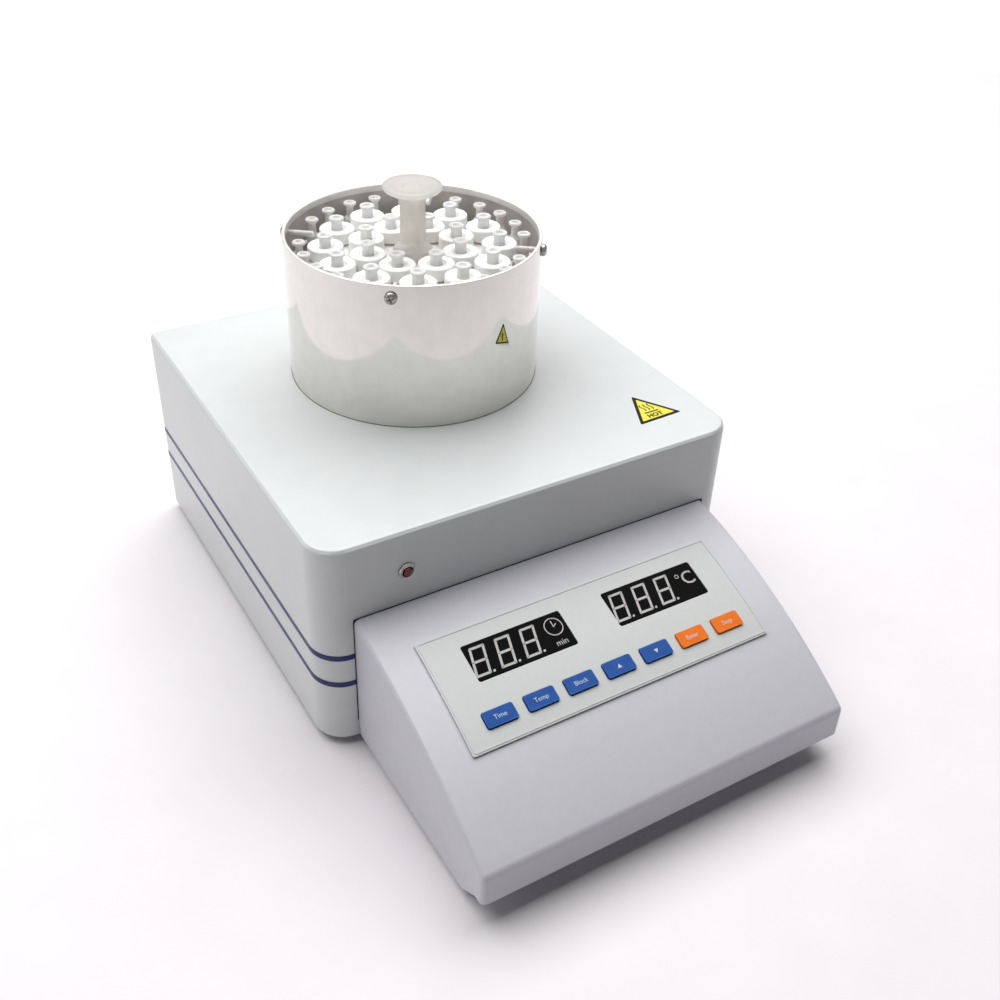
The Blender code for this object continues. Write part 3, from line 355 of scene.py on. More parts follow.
# %% [markdown]
# ## Metals
# A metal's base colour is what it reflects. Sheet steel is polished along one direction, and on
# the round shield very fine lines run round it: a noise that is squeezed along the height. The
# bump stays tiny, because the shield is almost a mirror.
# %% Make the metals
SHIELD_STEEL = finish(
    "polished shield steel", (216, 214, 208), (222, 220, 215), (0.07, 0.13), 0.5, 0.0004,
    marked=18.0, Metallic=1.0)
tree = SHIELD_STEEL.node_tree
from_axis = maths(tree, "SUBTRACT", own_place(tree), (*AXIS, 0), "ShaderNodeVectorMath")
drawn_out = maths(tree, "MULTIPLY", from_axis, (14, 14, 2600), "ShaderNodeVectorMath")
give_relief(SHIELD_STEEL, noise(tree, drawn_out, 1.0, 3.0, 0.6), 0.0016)
SHIELD_INSIDE = finish(
    "brushed shield inside", (196, 190, 186), (206, 201, 197), (0.42, 0.55), 0.4, 0.003,
    marked=14.0, Metallic=0.6)
RIM_STEEL = finish(
    "satin rim steel", (224, 221, 218), (232, 229, 226), (0.34, 0.46), 0.4, 0.002,
    marked=14.0, Metallic=0.5)
SHAFT_ZINC = finish(
    "bright zinc shaft", (222, 220, 218), (234, 232, 230), (0.34, 0.48), 0.3, 0.003,
    marked=4.0, Metallic=0.4)
SCREW_STEEL = finish(
    "plated screw steel", (150, 146, 142), (176, 172, 168), (0.18, 0.30), 0.3, 0.002,
    marked=3.0, Metallic=1.0)
NICKEL = finish(
    "nickel plate", (172, 167, 160), (190, 185, 178), (0.09, 0.16), 0.3, 0.001,
    marked=3.0, Metallic=1.0)
# A dark grey metal colour for the heater block.
DARK_GREY_BLOCK_METAL = finish(
    "dark grey block metal", (100, 95, 94), (118, 112, 110), (0.34, 0.5), 0.35, 0.006,
    scuff_and_highlight=((150, 146, 142), 0.4), Metallic=0.75)
ZINC_PLATE = finish(
    "zinc plate", (176, 178, 178), (198, 199, 200), (0.28, 0.42), 0.8, 0.004,
    marked=12.0, Metallic=0.9)
CAST_METAL = finish(
    "cast heating plate", (136, 136, 132), (160, 159, 154), (0.5, 0.66), 0.7, 0.05, Metallic=0.8)
PROBE_STEEL = finish(
    "probe sheath", (178, 176, 172), (196, 194, 190), (0.22, 0.34), 0.2, 0.002,
    marked=6.0, Metallic=1.0)
print(len(made_finishes), "finishes so far")

# %% [markdown]
# ## White and milky polymers
# The caps are a dense white fluoropolymer: light goes a little way in and comes out again, which
# softens an edge. The handle is the same family, clearer and creamier, and the stoppers let light
# right through and blur it. They differ only in subsurface and transmission.
# %% Make the polymers
EVEN = (1, 1, 1)  # red, green and blue travel equally far in a white polymer
CAP_WHITE = finish(
    "white cap", (244, 244, 242), (248, 248, 246), (0.36, 0.48), 0.3, 0.003,
    Subsurface_Weight=0.4, Subsurface_Scale=0.002, Subsurface_Radius=EVEN)
RACK_MILK = finish(
    "milky rack plate", (226, 224, 220), (234, 232, 228), (0.36, 0.48), 0.6, 0.006,
    Subsurface_Weight=0.3, Subsurface_Scale=0.003, Subsurface_Radius=EVEN)
HANDLE_CREAM = finish(
    "milky handle", (240, 234, 225), (246, 241, 233), (0.46, 0.56), 0.6, 0.004,
    Subsurface_Weight=1.0, Subsurface_Scale=0.04, Subsurface_Radius=EVEN,
    Transmission_Weight=0.45, IOR=1.25)
STOPPER_MILK = finish(
    "milky stopper", (244, 243, 242), (251, 250, 249), (0.30, 0.42), 0.3, 0.003,
    Subsurface_Weight=0.6, Subsurface_Scale=0.003, Subsurface_Radius=EVEN,
    Transmission_Weight=0.35, IOR=1.36)
VIAL_GLASS = finish(
    "vial glass", (251, 253, 253), (253, 254, 254), (0.03, 0.08), 1.5, 0.0005,
    Transmission_Weight=1.0, IOR=1.47)
RED_LENS = finish(
    "dark red lens", (92, 2, 16), (112, 4, 22), (0.08, 0.14), 0.3, 0.001,
    Transmission_Weight=0.1, IOR=1.5, Coat_Weight=0.2)
print(len(made_finishes), "finishes so far")

# %% [markdown]
# ## Finishes inside the housing
# Nobody sees these until the lid is off: ceramic fibre felt, the board it stands on, green
# circuit boards, and a transformer whose core is a stack of thin iron sheets. The stack is a wave
# across the height, used as bump.
# %% Make the inner finishes
CERAMIC_FELT = finish(
    "ceramic fibre felt", (222, 219, 208), (238, 236, 227), (0.85, 0.98), 0.6, 0.12)
SILICATE = finish("silicate board", (206, 201, 186), (220, 215, 201), (0.75, 0.9), 1.2, 0.06)
CIRCUIT_GREEN = finish("solder mask", (14, 84, 46), (22, 104, 58), (0.22, 0.36), 1.2, 0.01)
LAMINATIONS = finish(
    "laminated core", (62, 62, 64), (84, 84, 86), (0.4, 0.6), 0.6, 0.01, Metallic=0.7)
tree = LAMINATIONS.node_tree
sheets = tree.nodes.new("ShaderNodeTexWave")
sheets.bands_direction = "Z"
sheets.inputs["Scale"].default_value = 320.0
plug(tree, own_place(tree), sheets.inputs["Vector"])
give_relief(LAMINATIONS, sheets.outputs["Fac"], 0.15)
print(len(made_finishes), "finishes in all")

# %% [markdown]
# ## Tools for making a shape
# Three kinds of shape make nearly every piece here. A turned shape is a profile spun round an
# axis: caps, screws, the lamp and the shield. A plate is an outline given a thickness: display
# segments, stickers and legends. A band is a thin strip that follows a path: the blue stripes and
# the line round the panel. Each tool adds its shape to a mesh that is still being built, so one
# piece may be made of several.
# %% Define the shape tools
def rounded(here, before, after, ease, steps):
    """The points that round a corner, given the ways to its two neighbours."""
    start, end = here + before.normalized() * ease, here + after.normalized() * ease
    return [start * (1 - t) ** 2 + here * 2 * t * (1 - t) + end * t ** 2
            for t in [step / steps for step in range(steps + 1)]]


def eased(corners, steps=4):
    """A profile with rounded corners, each (radius, height) or (radius, height, ease)."""
    points = []
    for index, corner in enumerate(corners):
        here = Vector(corner[:2])
        if len(corner) == 2 or index in (0, len(corners) - 1):
            points.append(here)
            continue
        before = Vector(corners[index - 1][:2]) - here
        after = Vector(corners[index + 1][:2]) - here
        ease = min(corner[2], before.length / 2, after.length / 2)
        points += rounded(here, before, after, ease, steps)
    return points


def oblong(left, right, bottom, top):
    """Four corners: the outline of a bar, or the profile of a flat ring."""
    return [(left, bottom), (right, bottom), (right, top), (left, top)]


def joined(rows, closed):
    """Each row with the one after it, and the last with the first if the shape is closed."""
    return list(zip(rows, rows[1:])) + ([(rows[-1], rows[0])] if closed else [])


def add_turned(build, profile, seat, steps=64, finish_index=0, closed=False):
    """Spin a profile of (radius, height) round the seat's Z axis."""
    rings = []
    for radius, height in profile:
        count = 1 if radius < 1e-6 else steps
        points = [(radius * math.cos(a), radius * math.sin(a), height)
                  for a in [math.tau * k / steps for k in range(count)]]
        rings.append([build.verts.new(seat @ Vector(point)) for point in points])
    for lower, upper in joined(rings, closed):
        for k in range(steps):
            n = (k + 1) % steps
            around = ((lower, k), (lower, n), (upper, n), (upper, k))
            corners = list(dict.fromkeys(ring[at % len(ring)] for ring, at in around))
            if len(corners) > 2:
                build.faces.new(corners).material_index = finish_index


def add_plate(build, outline, low, high, seat, finish_index=0):
    """Give an outline of (x, y) points a thickness, from low to high, on the seat."""
    floor = [build.verts.new(seat @ Vector((x, y, low))) for x, y in outline]
    roof = [build.verts.new(seat @ Vector((x, y, high))) for x, y in outline]
    faces = [build.faces.new(roof), build.faces.new(floor[::-1])]
    for k in range(len(outline)):
        faces.append(build.faces.new((floor[k - 1], floor[k], roof[k], roof[k - 1])))
    for face in faces:
        face.material_index = finish_index


def add_band(build, path, thickness, closed=False):
    """A thin strip. Each station of the path is (lower edge, upper edge, outward direction)."""
    rows = []
    for lower, upper, out in path:
        corners = (lower, upper, upper + out * thickness, lower + out * thickness)
        rows.append([build.verts.new(corner) for corner in corners])
    if not closed:
        build.faces.new(rows[0])
        build.faces.new(rows[-1][::-1])
    for row, following in joined(rows, closed):
        for k in range(4):
            build.faces.new((row[k - 1], following[k - 1], following[k], row[k]))


print("a corner of 2 mm eased by 0.5 mm has", len(eased([(0, 0), (2, 0, 0.5), (2, 2)])), "points")

# %% [markdown]
# ## Seats
# A turned shape or a plate is drawn in millimetres, and lies on a seat: a matrix that says where
# it goes, which way it points, and that its numbers are millimetres.
# %% Define the seats
def seat_at(place, up=(0, 0, 1), across=Vector((1, 0, 0))):
    """A seat whose Z axis points along up and whose X axis lies along across."""
    z = Vector(up).normalized()
    y = z.cross(across).normalized()
    x = y.cross(z)
    return Matrix.Translation(place) @ Matrix((x, y, z)).transposed().to_4x4() @ Matrix.Scale(MM, 4)


def shifted(seat, x, y):
    """The same seat, moved along its own face."""
    return seat @ Matrix.Translation((x, y, 0))


def face_of(node):
    """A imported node's surface, ready to be met by a ray."""
    mesh = nodes[node].data
    corners = [vertex.co for vertex in mesh.vertices]
    return BVHTree.FromPolygons(corners, [polygon.vertices[:] for polygon in mesh.polygons])


print("a seat at the origin:", [round(value, 4) for value in seat_at((0, 0, 0))[0]])

# %% [markdown]
# ## Putting a piece in place
# A finished shape becomes an object with its materials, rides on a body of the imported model, and
# may stand for one of its nodes, which is then hidden. Every piece is shaded smooth, so edges
# steeper than an angle are marked to stay sharp.
# %% Define how a piece is placed
SHARP = math.radians(35)


def place(name, build, finishes, body="root", slot=None, stands_for=(), sharp=SHARP):
    """Turn a finished build into a piece that rides on a body."""
    bmesh.ops.recalc_face_normals(build, faces=build.faces)
    mesh = bpy.data.meshes.new(name)
    build.to_mesh(mesh)
    build.free()
    for material in finishes:
        mesh.materials.append(material)
    for polygon in mesh.polygons:
        polygon.use_smooth = True
    mesh.set_sharp_from_angle(angle=sharp)
    piece = bpy.data.objects.new(name, mesh)
    scene.collection.objects.link(piece)
    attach(piece, body)
    if stands_for:
        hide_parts(*stands_for)
    return piece


def break_edges(piece, width, steps):
    """Round a piece's sharp edges a little, as a mould or a file does."""
    bevel = piece.modifiers.new("broken edges", "BEVEL")
    bevel.width = width
    bevel.segments = steps
    bevel.limit_method = "ANGLE"
    bevel.angle_limit = math.radians(30)
    flat_faces = piece.modifiers.new("flat faces stay flat", "WEIGHTED_NORMAL")
    flat_faces.keep_sharp = False


bodies = frame["record"]["behaviour"]["bodies"]
BODY_OF = {node: body for body, members in bodies.items() for node in members}
SLOT_OF = {part["node"]: part["material_slot"] for part in frame["record"]["subparts"]}
SAME_PLACE = 1e-6
FLAT_ENOUGH = math.radians(0.2)


def dress(node, finishes, ease, steps=2):
    """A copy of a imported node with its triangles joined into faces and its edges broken."""
    build = bmesh.new()
    build.from_mesh(nodes[node].data)
    bmesh.ops.remove_doubles(build, verts=build.verts, dist=SAME_PLACE)
    bmesh.ops.dissolve_limit(build, angle_limit=FLAT_ENOUGH, verts=build.verts, edges=build.edges)
    for face in build.faces:
        face.material_index = 0
    piece = place(node + "_dressed", build, finishes, BODY_OF[node], SLOT_OF[node], (node,))
    break_edges(piece, ease, steps)


print("bodies:", sorted(set(BODY_OF.values())))

# %% [markdown]
# ## The housing, the console and the tray
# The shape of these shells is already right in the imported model, so each is copied, its triangles
# are joined into flat faces again, and its edges are broken. A broken edge catches the light as
# on a real shell: a perfectly sharp one looks like paper.
# %% Dress the shells
dress("rear_housing", [WHITE_PAINT], 0.0005, 3)
dress("console_shell", [CONSOLE_GREY], 0.0005, 3)
dress("console_base", [CONSOLE_GREY], 0.0005, 2)
dress("base_plate", [ZINC_PLATE], 0.0003)
for corner in ("front_left", "front_right", "rear_left", "rear_right"):
    dress("foot_" + corner, [RUBBER], 0.0006, 3)

# %% [markdown]
# ## A dark band in the seam
# Where the console meets the housing's front wall there is a thin gap. A black band laid in it is
# painted shade for the shadow in that gap, and only its edge shows, as a dark line over the top of
# the console and down both sides. It lies in the gap and stands a little proud of the console's
# outline.
# %% Lay the shade band in the seam
CONSOLE_LOW, CONSOLE_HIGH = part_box("console_shell")
SHADE_BAND_PROUD = 0.45 * MM
SHADE_BAND_DEEP = 2.0 * MM
SEAM = FRONT_Y - CONSOLE_HIGH.y


def shade_band_outline(grow, corner_r):
    """The console's back outline, from its lower left round the top to its lower right."""
    half, top, foot = CONSOLE_HIGH.x + grow, CONSOLE_HIGH.z + grow, CONSOLE_LOW.z + 1.0 * MM
    turns = [math.pi / 2 * k / 6 for k in range(7)]
    left = [(-half + corner_r - corner_r * math.cos(a), top - corner_r + corner_r * math.sin(a))
            for a in turns]
    points = [(-half, foot)] + left + [(-x, z) for x, z in left[::-1]] + [(half, foot)]
    return [Vector((x, CONSOLE_HIGH.y + SEAM * 0.1, z)) for x, z in points]


build = bmesh.new()
outside, inside = shade_band_outline(SHADE_BAND_PROUD, 1.2 * MM), shade_band_outline(-SHADE_BAND_DEEP, 0.2 * MM)
add_band(build, [(o, i, Vector((0, 1, 0))) for o, i in zip(outside, inside)], SEAM * 0.8)
# The black band is painted shade: it stands for the shadow in the seam's gap.
place("seam_shade_band", build, [RUBBER], slot="rubber")
print("seam", round(SEAM / MM, 2), "mm wide")

# %% [markdown]
# ## The blue stripes
# Two stripes of film run from the back of each side, round the front corner and up to the
# console. A thin strip of its own keeps a crisper edge than paint in the housing's material.
# %% Lay the stripes
CORNER_R = 15.3 * MM
STRIPE_H = 3.1 * MM
STRIPE_HEIGHTS = {"upper": 51.3 * MM, "lower": 34.9 * MM}
FILM_T = 0.12 * MM


def side_path(side, height):
    """Stations along one side and round its front corner, from back to front."""
    centre_x, centre_y = BOX_HIGH.x - CORNER_R, FRONT_Y + CORNER_R
    turning = [math.pi / 2 * k / 20 for k in range(21)]
    points = [(BOX_HIGH.x, BOX_HIGH.y - 3 * MM, 0.0)]
    points += [(centre_x + CORNER_R * math.cos(a), centre_y - CORNER_R * math.sin(a), a)
               for a in turning]
    points.append((CONSOLE_HIGH.x + 0.2 * MM, FRONT_Y, math.pi / 2))
    path = []
    for x, y, a in points:
        out = Vector((side * math.cos(a), -math.sin(a), 0))
        low = Vector((side * x, y, BOX_LOW.z + height - STRIPE_H / 2))
        path.append((low, low + Vector((0, 0, STRIPE_H)), out))
    return path


for label, height in STRIPE_HEIGHTS.items():
    for side_name, side in (("left", -1), ("right", 1)):
        build = bmesh.new()
        add_band(build, side_path(side, height), FILM_T)
        place(f"stripe_{label}_{side_name}", build, [STRIPE_BLUE], slot="white_paint")

# %% [markdown]
# ## The heat shield
# The shield is one turn of polished sheet, open at both ends, with its rim folded over inwards so
# that it can't cut a hand. A mirror shows every flat facet of a coarse cylinder, so it is turned
# again here with many steps. A grey ring at its foot is painted shade: it stands for the dark
# contact line where the shield meets the housing.
# %% Turn the shield
SHIELD_R = (SHIELD_HIGH.x - SHIELD_LOW.x) / 2 / MM
SHIELD_H = (RIM_Z - SHIELD_LOW.z) / MM
SHIELD_WALL = 1.0
HEM_T, HEM_H = 0.8, 3.6
shield_seat = seat_at((AXIS.x, AXIS.y, SHIELD_LOW.z))
inner_r, hem_r = SHIELD_R - SHIELD_WALL, SHIELD_R - SHIELD_WALL - HEM_T
wall = eased([
    (inner_r, 2), (inner_r, 0, 0.15), (SHIELD_R, 0, 0.15), (SHIELD_R, SHIELD_H, 0.55),
    (hem_r, SHIELD_H, 0.55), (hem_r, SHIELD_H - HEM_H, 0.2), (inner_r, SHIELD_H - HEM_H)], 5)
build = bmesh.new()
add_turned(build, wall, shield_seat, 240, closed=True)
for face in build.faces:
    centre = face.calc_center_median()
    if (centre.xy - AXIS).length < (SHIELD_R - 0.03) * MM:
        face.material_index = 2 if centre.z > RIM_Z - (HEM_H + 0.1) * MM else 1
place("shield_polished", build, [SHIELD_STEEL, SHIELD_INSIDE, RIM_STEEL], slot="polished_steel",
      stands_for=("heat_shield",), sharp=math.radians(12))

# The grey ring is painted shade for the contact shadow at the shield's foot.
foot_z = (BOX_HIGH.z - SHIELD_LOW.z) / MM
build = bmesh.new()
add_turned(build, oblong(SHIELD_R - 1.5, SHIELD_R + 0.2, foot_z + 0.02, -0.02), shield_seat, 120,
           closed=True)
place("shield_foot_shade_ring", build, [SHIELD_FOOT_SHADE_GREY], slot="rubber")

# %% [markdown]
# ## The shield's screws
# Four pan-head screws hold the shield to the block from outside, and their shafts show as pale
# bars inside. The cross in each head is cut out with a boolean, as a punch would.
# %% Make the screws
SCREW_HEAD_R, SCREW_HEAD_H = 3.1, 2.2
THREAD_R, THREAD_PITCH = 1.5, 0.5
ROOT_R = 0.84 * THREAD_R


def cut_out(build, cutter):
    """Take the cutter's shape out of the build."""
    meshes = []
    for part in (build, cutter):
        bmesh.ops.recalc_face_normals(part, faces=part.faces)
        meshes.append(bpy.data.meshes.new("shape"))
        part.to_mesh(meshes[-1])
        part.free()
    body, tool = (bpy.data.objects.new("shape", mesh) for mesh in meshes)
    for thing in (body, tool):
        scene.collection.objects.link(thing)
    boolean = body.modifiers.new("cut", "BOOLEAN")
    boolean.object = tool
    boolean.solver = "EXACT"
    bpy.context.view_layer.update()
    cut = bmesh.new()
    cut.from_mesh(body.evaluated_get(bpy.context.evaluated_depsgraph_get()).data)
    for thing in (body, tool):
        bpy.data.objects.remove(thing)
    for mesh in meshes:
        bpy.data.meshes.remove(mesh)
    return cut


def add_screw(seat, length):
    """A pan head with a cross recess, on a threaded shaft that points into the seat."""
    head = bmesh.new()
    add_turned(head, eased([(0, -0.2), (SCREW_HEAD_R, -0.2, 0.1), (SCREW_HEAD_R, 1.1, 0.9),
                            (1.9, SCREW_HEAD_H, 0.5), (0, SCREW_HEAD_H)]), seat, 36)
    for turn_deg in (20, 110):
        cross = bmesh.new()
        arm = seat @ Matrix.Rotation(math.radians(turn_deg), 4, "Z")
        add_plate(cross, oblong(-1.7, 1.7, -0.33, 0.33), 1.0, 3.0, arm)
        head = cut_out(head, cross)
    shaft = [(0, -length), (THREAD_R * 0.7, -length)]
    for k in range(int((length - 1.2) / THREAD_PITCH)):
        at = -length + 0.4 + k * THREAD_PITCH
        shaft += [(ROOT_R, at), (THREAD_R, at + THREAD_PITCH / 2)]
    shaft += [(ROOT_R, -0.7), (ROOT_R, -0.15), (0, -0.15)]
    add_turned(head, shaft, seat, 20, 1)
    return head


for number in range(1, 5):
    node = f"shield_screw_{number}"
    outward = (middle(node).xy - AXIS).to_3d().normalized()
    tip, top = reach(node, outward)
    base = Vector((AXIS.x, AXIS.y, middle(node).z))
    base += outward * (top - SCREW_HEAD_H * MM - AXIS.to_3d().dot(outward))
    build = add_screw(seat_at(base, outward, UPRIGHT), (top - tip) / MM - SCREW_HEAD_H)
    place(f"shield_screw_cut_{number}", build, [SCREW_STEEL, SHAFT_ZINC], slot="screw_steel",
          stands_for=(node,))

# %% [markdown]
# ## The block and the rack
# The block is a thick, dark disc of aluminium with a well for each vial. The rack plate lies on
# it, is cut from the same milky polymer as its handle, and lifts out with the vials in it. Both
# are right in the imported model, so they are dressed like the shells.
# %% Dress the block and the rack
dress("heater_block", [DARK_GREY_BLOCK_METAL], 0.0003)
dress("tube_rack", [RACK_MILK], 0.0003)

# %% [markdown]
# ## The vials
# A vial here is three things: a glass tube with a round bottom, a white screw cap, and a milky
# stopper that stands up through the cap's hole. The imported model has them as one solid. Here each
# is its own closed profile, so that the glass has an inside and the stopper a clear edge.
# %% Turn a vial for each place in the rack
CAP_R, CAP_H = 9.1, 7.0
STOPPER_H = 5.5
GLASS_R, GLASS_WALL = 6.2, 0.9


def round_end(radius, centre, steps=8):
    """A quarter circle from the axis out to the wall."""
    turns = [math.pi / 2 * k / steps for k in range(steps + 1)]
    return [(radius * math.sin(a), centre - radius * math.cos(a)) for a in turns]


def add_vial(build, seat, length):
    """Glass, cap and stopper. The seat is under the cap, and length is the glass below it."""
    bottom, inner, top = GLASS_R - length, GLASS_R - GLASS_WALL, CAP_H + STOPPER_H
    glass = round_end(GLASS_R, bottom) + [(GLASS_R, 1.0), (inner, 1.0)]
    add_turned(build, glass + round_end(inner, bottom)[::-1], seat, 32, 0)
    add_turned(build, eased([
        (0, 0.2), (CAP_R - 0.9, 0.2, 0.3), (CAP_R, 0.9, 0.8), (CAP_R, CAP_H - 0.5, 0.6),
        (CAP_R - 0.6, CAP_H, 0.5), (4.7, CAP_H - 0.1, 0.5), (4.1, CAP_H - 1.0, 0.3),
        (0, CAP_H - 1.0)]), seat, 48, 1)
    add_turned(build, eased([
        (0, CAP_H - 1.1), (3.1, CAP_H - 1.1, 0.2), (2.9, top - 1.8, 0.4), (3.9, top - 1.4, 0.3),
        (3.9, top, 0.5), (2.2, top, 0.4), (1.5, top - 1.3, 0.4), (0, top - 1.4)]), seat, 32, 2)


vial_nodes = sorted(node for node in nodes if node.startswith("vial_"))
for node in vial_nodes:
    low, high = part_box(node)
    under_cap = high.z - (STOPPER_H + CAP_H) * MM
    build = bmesh.new()
    add_vial(build, seat_at((*middle(node).xy, under_cap)), (under_cap - low.z) / MM)
    place(node + "_capped", build, [VIAL_GLASS, CAP_WHITE, STOPPER_MILK], "rack",
          "white_polymer", (node,))

# %% [markdown]
# ## The small stoppered tubes
# A ring of smaller wells runs round the edge of the block, in the gap between the rack and the
# shield. Each holds a small tube whose shoulder and stopper stand above the block like a spool.
# They stay in the block when the rack is lifted, so they ride on the root body.
# %% Turn the small tubes
SMALL_RING_R = 57.0 * MM
SMALL_H = (RIM_Z - BLOCK_HIGH.z) / MM - 4.0
SMALL_PLACES = [9 + 15 * k for k in range(24) if (9 + 15 * k) % 90 != 54]  # none by a screw


def add_small_tube(build, seat, height):
    """A spool that stands on the seat, and a tube below it in the well."""
    add_turned(build, eased([
        (0, 0.3), (3.1, 0.3, 0.3), (3.3, 5.4, 0.7), (2.0, 6.6, 0.6), (1.9, height - 2.2, 0.6),
        (3.35, height - 1.3, 0.3), (3.35, height, 0.5), (1.9, height, 0.3),
        (1.4, height - 1.0, 0.3), (0, height - 1.1)]), seat, 28, 0)
    add_turned(build, [(0, -36), (1.6, -36), (2.3, -34), (2.3, 0.1), (0, 0.1)], seat, 20, 1)


for number, azimuth in enumerate(SMALL_PLACES, 1):
    spot = AXIS + Vector((SMALL_RING_R, 0)) @ Matrix.Rotation(-math.radians(azimuth), 2)
    build = bmesh.new()
    add_small_tube(build, seat_at((*spot, BLOCK_HIGH.z)), SMALL_H)
    place(f"small_tube_{number:02d}", build, [STOPPER_MILK, VIAL_GLASS], slot="milky_polymer")
print(len(SMALL_PLACES), "small tubes")

# %% [markdown]
# ## The lifting handle
# A milky polymer spool screwed to the middle of the rack: a foot, a stem for two fingers to hold,
# and a broad top that is dished a little. It is one turned profile, with generous rounding
# because this material is never sharp.
# %% Turn the handle
handle_low, handle_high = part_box("lifting_handle")
height = (handle_high.z - RACK_HIGH.z) / MM
top_r = (handle_high.x - handle_low.x) / 2 / MM
spool = eased([
    (0, 0.3), (10.0, 0.3, 0.5), (10.0, 5.6, 1.6), (7.4, 6.9, 0.8), (6.5, 8.4, 1.0),
    (6.4, height - 4.2, 1.6), (top_r - 1.0, height - 2.7, 1.0), (top_r, height - 1.4, 1.1),
    (top_r - 0.5, height, 0.9), (top_r - 2.8, height, 0.8), (8.0, height - 0.9, 1.0),
    (5.2, height - 1.0, 0.5), (4.7, height - 1.6, 0.5), (0, height - 1.7)], 6)
build = bmesh.new()
add_turned(build, spool, seat_at((AXIS.x, AXIS.y, RACK_HIGH.z)), 96)
place("handle_turned", build, [HANDLE_CREAM], "rack", "milky_polymer", ("lifting_handle",),
      math.radians(60))
print("handle height", round(height, 1), "mm, top", round(2 * top_r, 1), "mm across")

# %% [markdown]
# ## The pilot lamp
# A nickel bezel with a turned step, and a domed red lens behind its lip, point out of the
# housing's front wall. Both are turned round an axis that points at the operator.
# %% Turn the lamp
bezel_low, bezel_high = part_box("indicator_bezel")
lens_low, lens_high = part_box("indicator_lens")
lamp = middle("indicator_bezel")
lamp_seat = seat_at((lamp.x, FRONT_Y, lamp.z), (0, -1, 0))
bezel_out, lens_out = (FRONT_Y - bezel_low.y) / MM, (FRONT_Y - lens_low.y) / MM
bezel_in = (bezel_high.y - FRONT_Y) / MM
BEZEL_R = (bezel_high.x - bezel_low.x) / 2 / MM
LENS_R = (lens_high.x - lens_low.x) / 2 / MM
DOME_H = LENS_R * 0.55
build = bmesh.new()
add_turned(build, eased([
    (LENS_R + 0.3, -bezel_in), (3.0, -bezel_in), (3.0, 0.3), (BEZEL_R, 0.3, 0.1),
    (BEZEL_R, 0.9, 0.3), (BEZEL_R - 0.7, 1.1, 0.2), (BEZEL_R - 0.8, bezel_out, 0.3),
    (LENS_R + 0.7, bezel_out, 0.2), (LENS_R + 0.3, bezel_out - 0.6)]), lamp_seat, 48, closed=True)
place("lamp_bezel", build, [NICKEL], slot="nickel", stands_for=("indicator_bezel",))
dome = [(LENS_R * math.cos(a), lens_out - DOME_H + DOME_H * math.sin(a))
        for a in [math.pi / 2 * k / 8 for k in range(8)]]
build = bmesh.new()
add_turned(build, [(0, -4), (LENS_R, -4)] + dome + [(0, lens_out)], lamp_seat, 32)
place("lamp_lens", build, [RED_LENS], slot="red_lens", stands_for=("indicator_lens",))
print("lamp stands", round(lens_out, 1), "mm proud")

# %% [markdown]
# ## The control panel
# A printed label on a thin moulding, curved with the console, with a fine line pressed round its
# edge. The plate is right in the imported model. The line has to lie on its curved face, so a ray
# is sent down to that face at each station of the path.
# %% Dress the panel and lay the line round it
dress("key_panel", [PANEL_FILM], 0.0002, 2)
panel_face = face_of("key_panel")
PANEL_MIDDLE = middle("key_panel")
WELL_ABOVE = 0.05


def on_panel(x, up):
    """The point of the panel's face at x across and up the slope from its middle."""
    start = PANEL_MIDDLE + Vector((x, 0, 0)) + FACE_UP * up + FACE_OUT * WELL_ABOVE
    return panel_face.ray_cast(start, -FACE_OUT)[0]


def rounded_rectangle(width, height, radius, steps=5):
    """An outline, anticlockwise from the lower right corner."""
    points = []
    for sx, sy, first in ((1, -1, -90), (1, 1, 0), (-1, 1, 90), (-1, -1, 180)):
        for k in range(steps + 1):
            a = math.radians(first + 90 * k / steps)
            points.append((sx * (width / 2 - radius) + radius * math.cos(a),
                           sy * (height / 2 - radius) + radius * math.sin(a)))
    return points


def subdivided(outline, longest):
    """The same outline with long sides cut into short ones, so that it can follow a curve."""
    points = []
    for k, (x, y) in enumerate(outline):
        next_x, next_y = outline[(k + 1) % len(outline)]
        parts = max(1, math.ceil(math.dist((x, y), (next_x, next_y)) / longest))
        points += [(x + (next_x - x) * n / parts, y + (next_y - y) * n / parts)
                   for n in range(parts)]
    return points


PANEL_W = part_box("key_panel")[1].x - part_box("key_panel")[0].x
up_low, up_high = reach("key_panel", FACE_UP)
PANEL_L = up_high - up_low
PANEL_MID_UP = (up_low + up_high) / 2 - PANEL_MIDDLE.dot(FACE_UP)
LINE_INSET, LINE_W, LINE_T = 0.9 * MM, 0.5 * MM, 0.3 * MM
LINE_SUNK = FACE_OUT * 0.05 * MM
edges = []
for inset, corner_r in ((LINE_INSET, 0.6 * MM), (LINE_INSET + LINE_W, 0.2 * MM)):
    outline = rounded_rectangle(PANEL_W - 2 * inset, PANEL_L - 2 * inset, corner_r)
    outline = subdivided(outline, 4 * MM)
    edges.append([on_panel(x, y + PANEL_MID_UP) - LINE_SUNK for x, y in outline])
rail = [(outer, inner, FACE_OUT) for outer, inner in zip(*edges)]
build = bmesh.new()
add_band(build, rail, LINE_T, closed=True)
place("panel_line", build, [PANEL_FILM], slot="panel_label")
print("panel", round(PANEL_W / MM, 1), "by", round(PANEL_L / MM, 1), "mm,", len(rail), "stations")

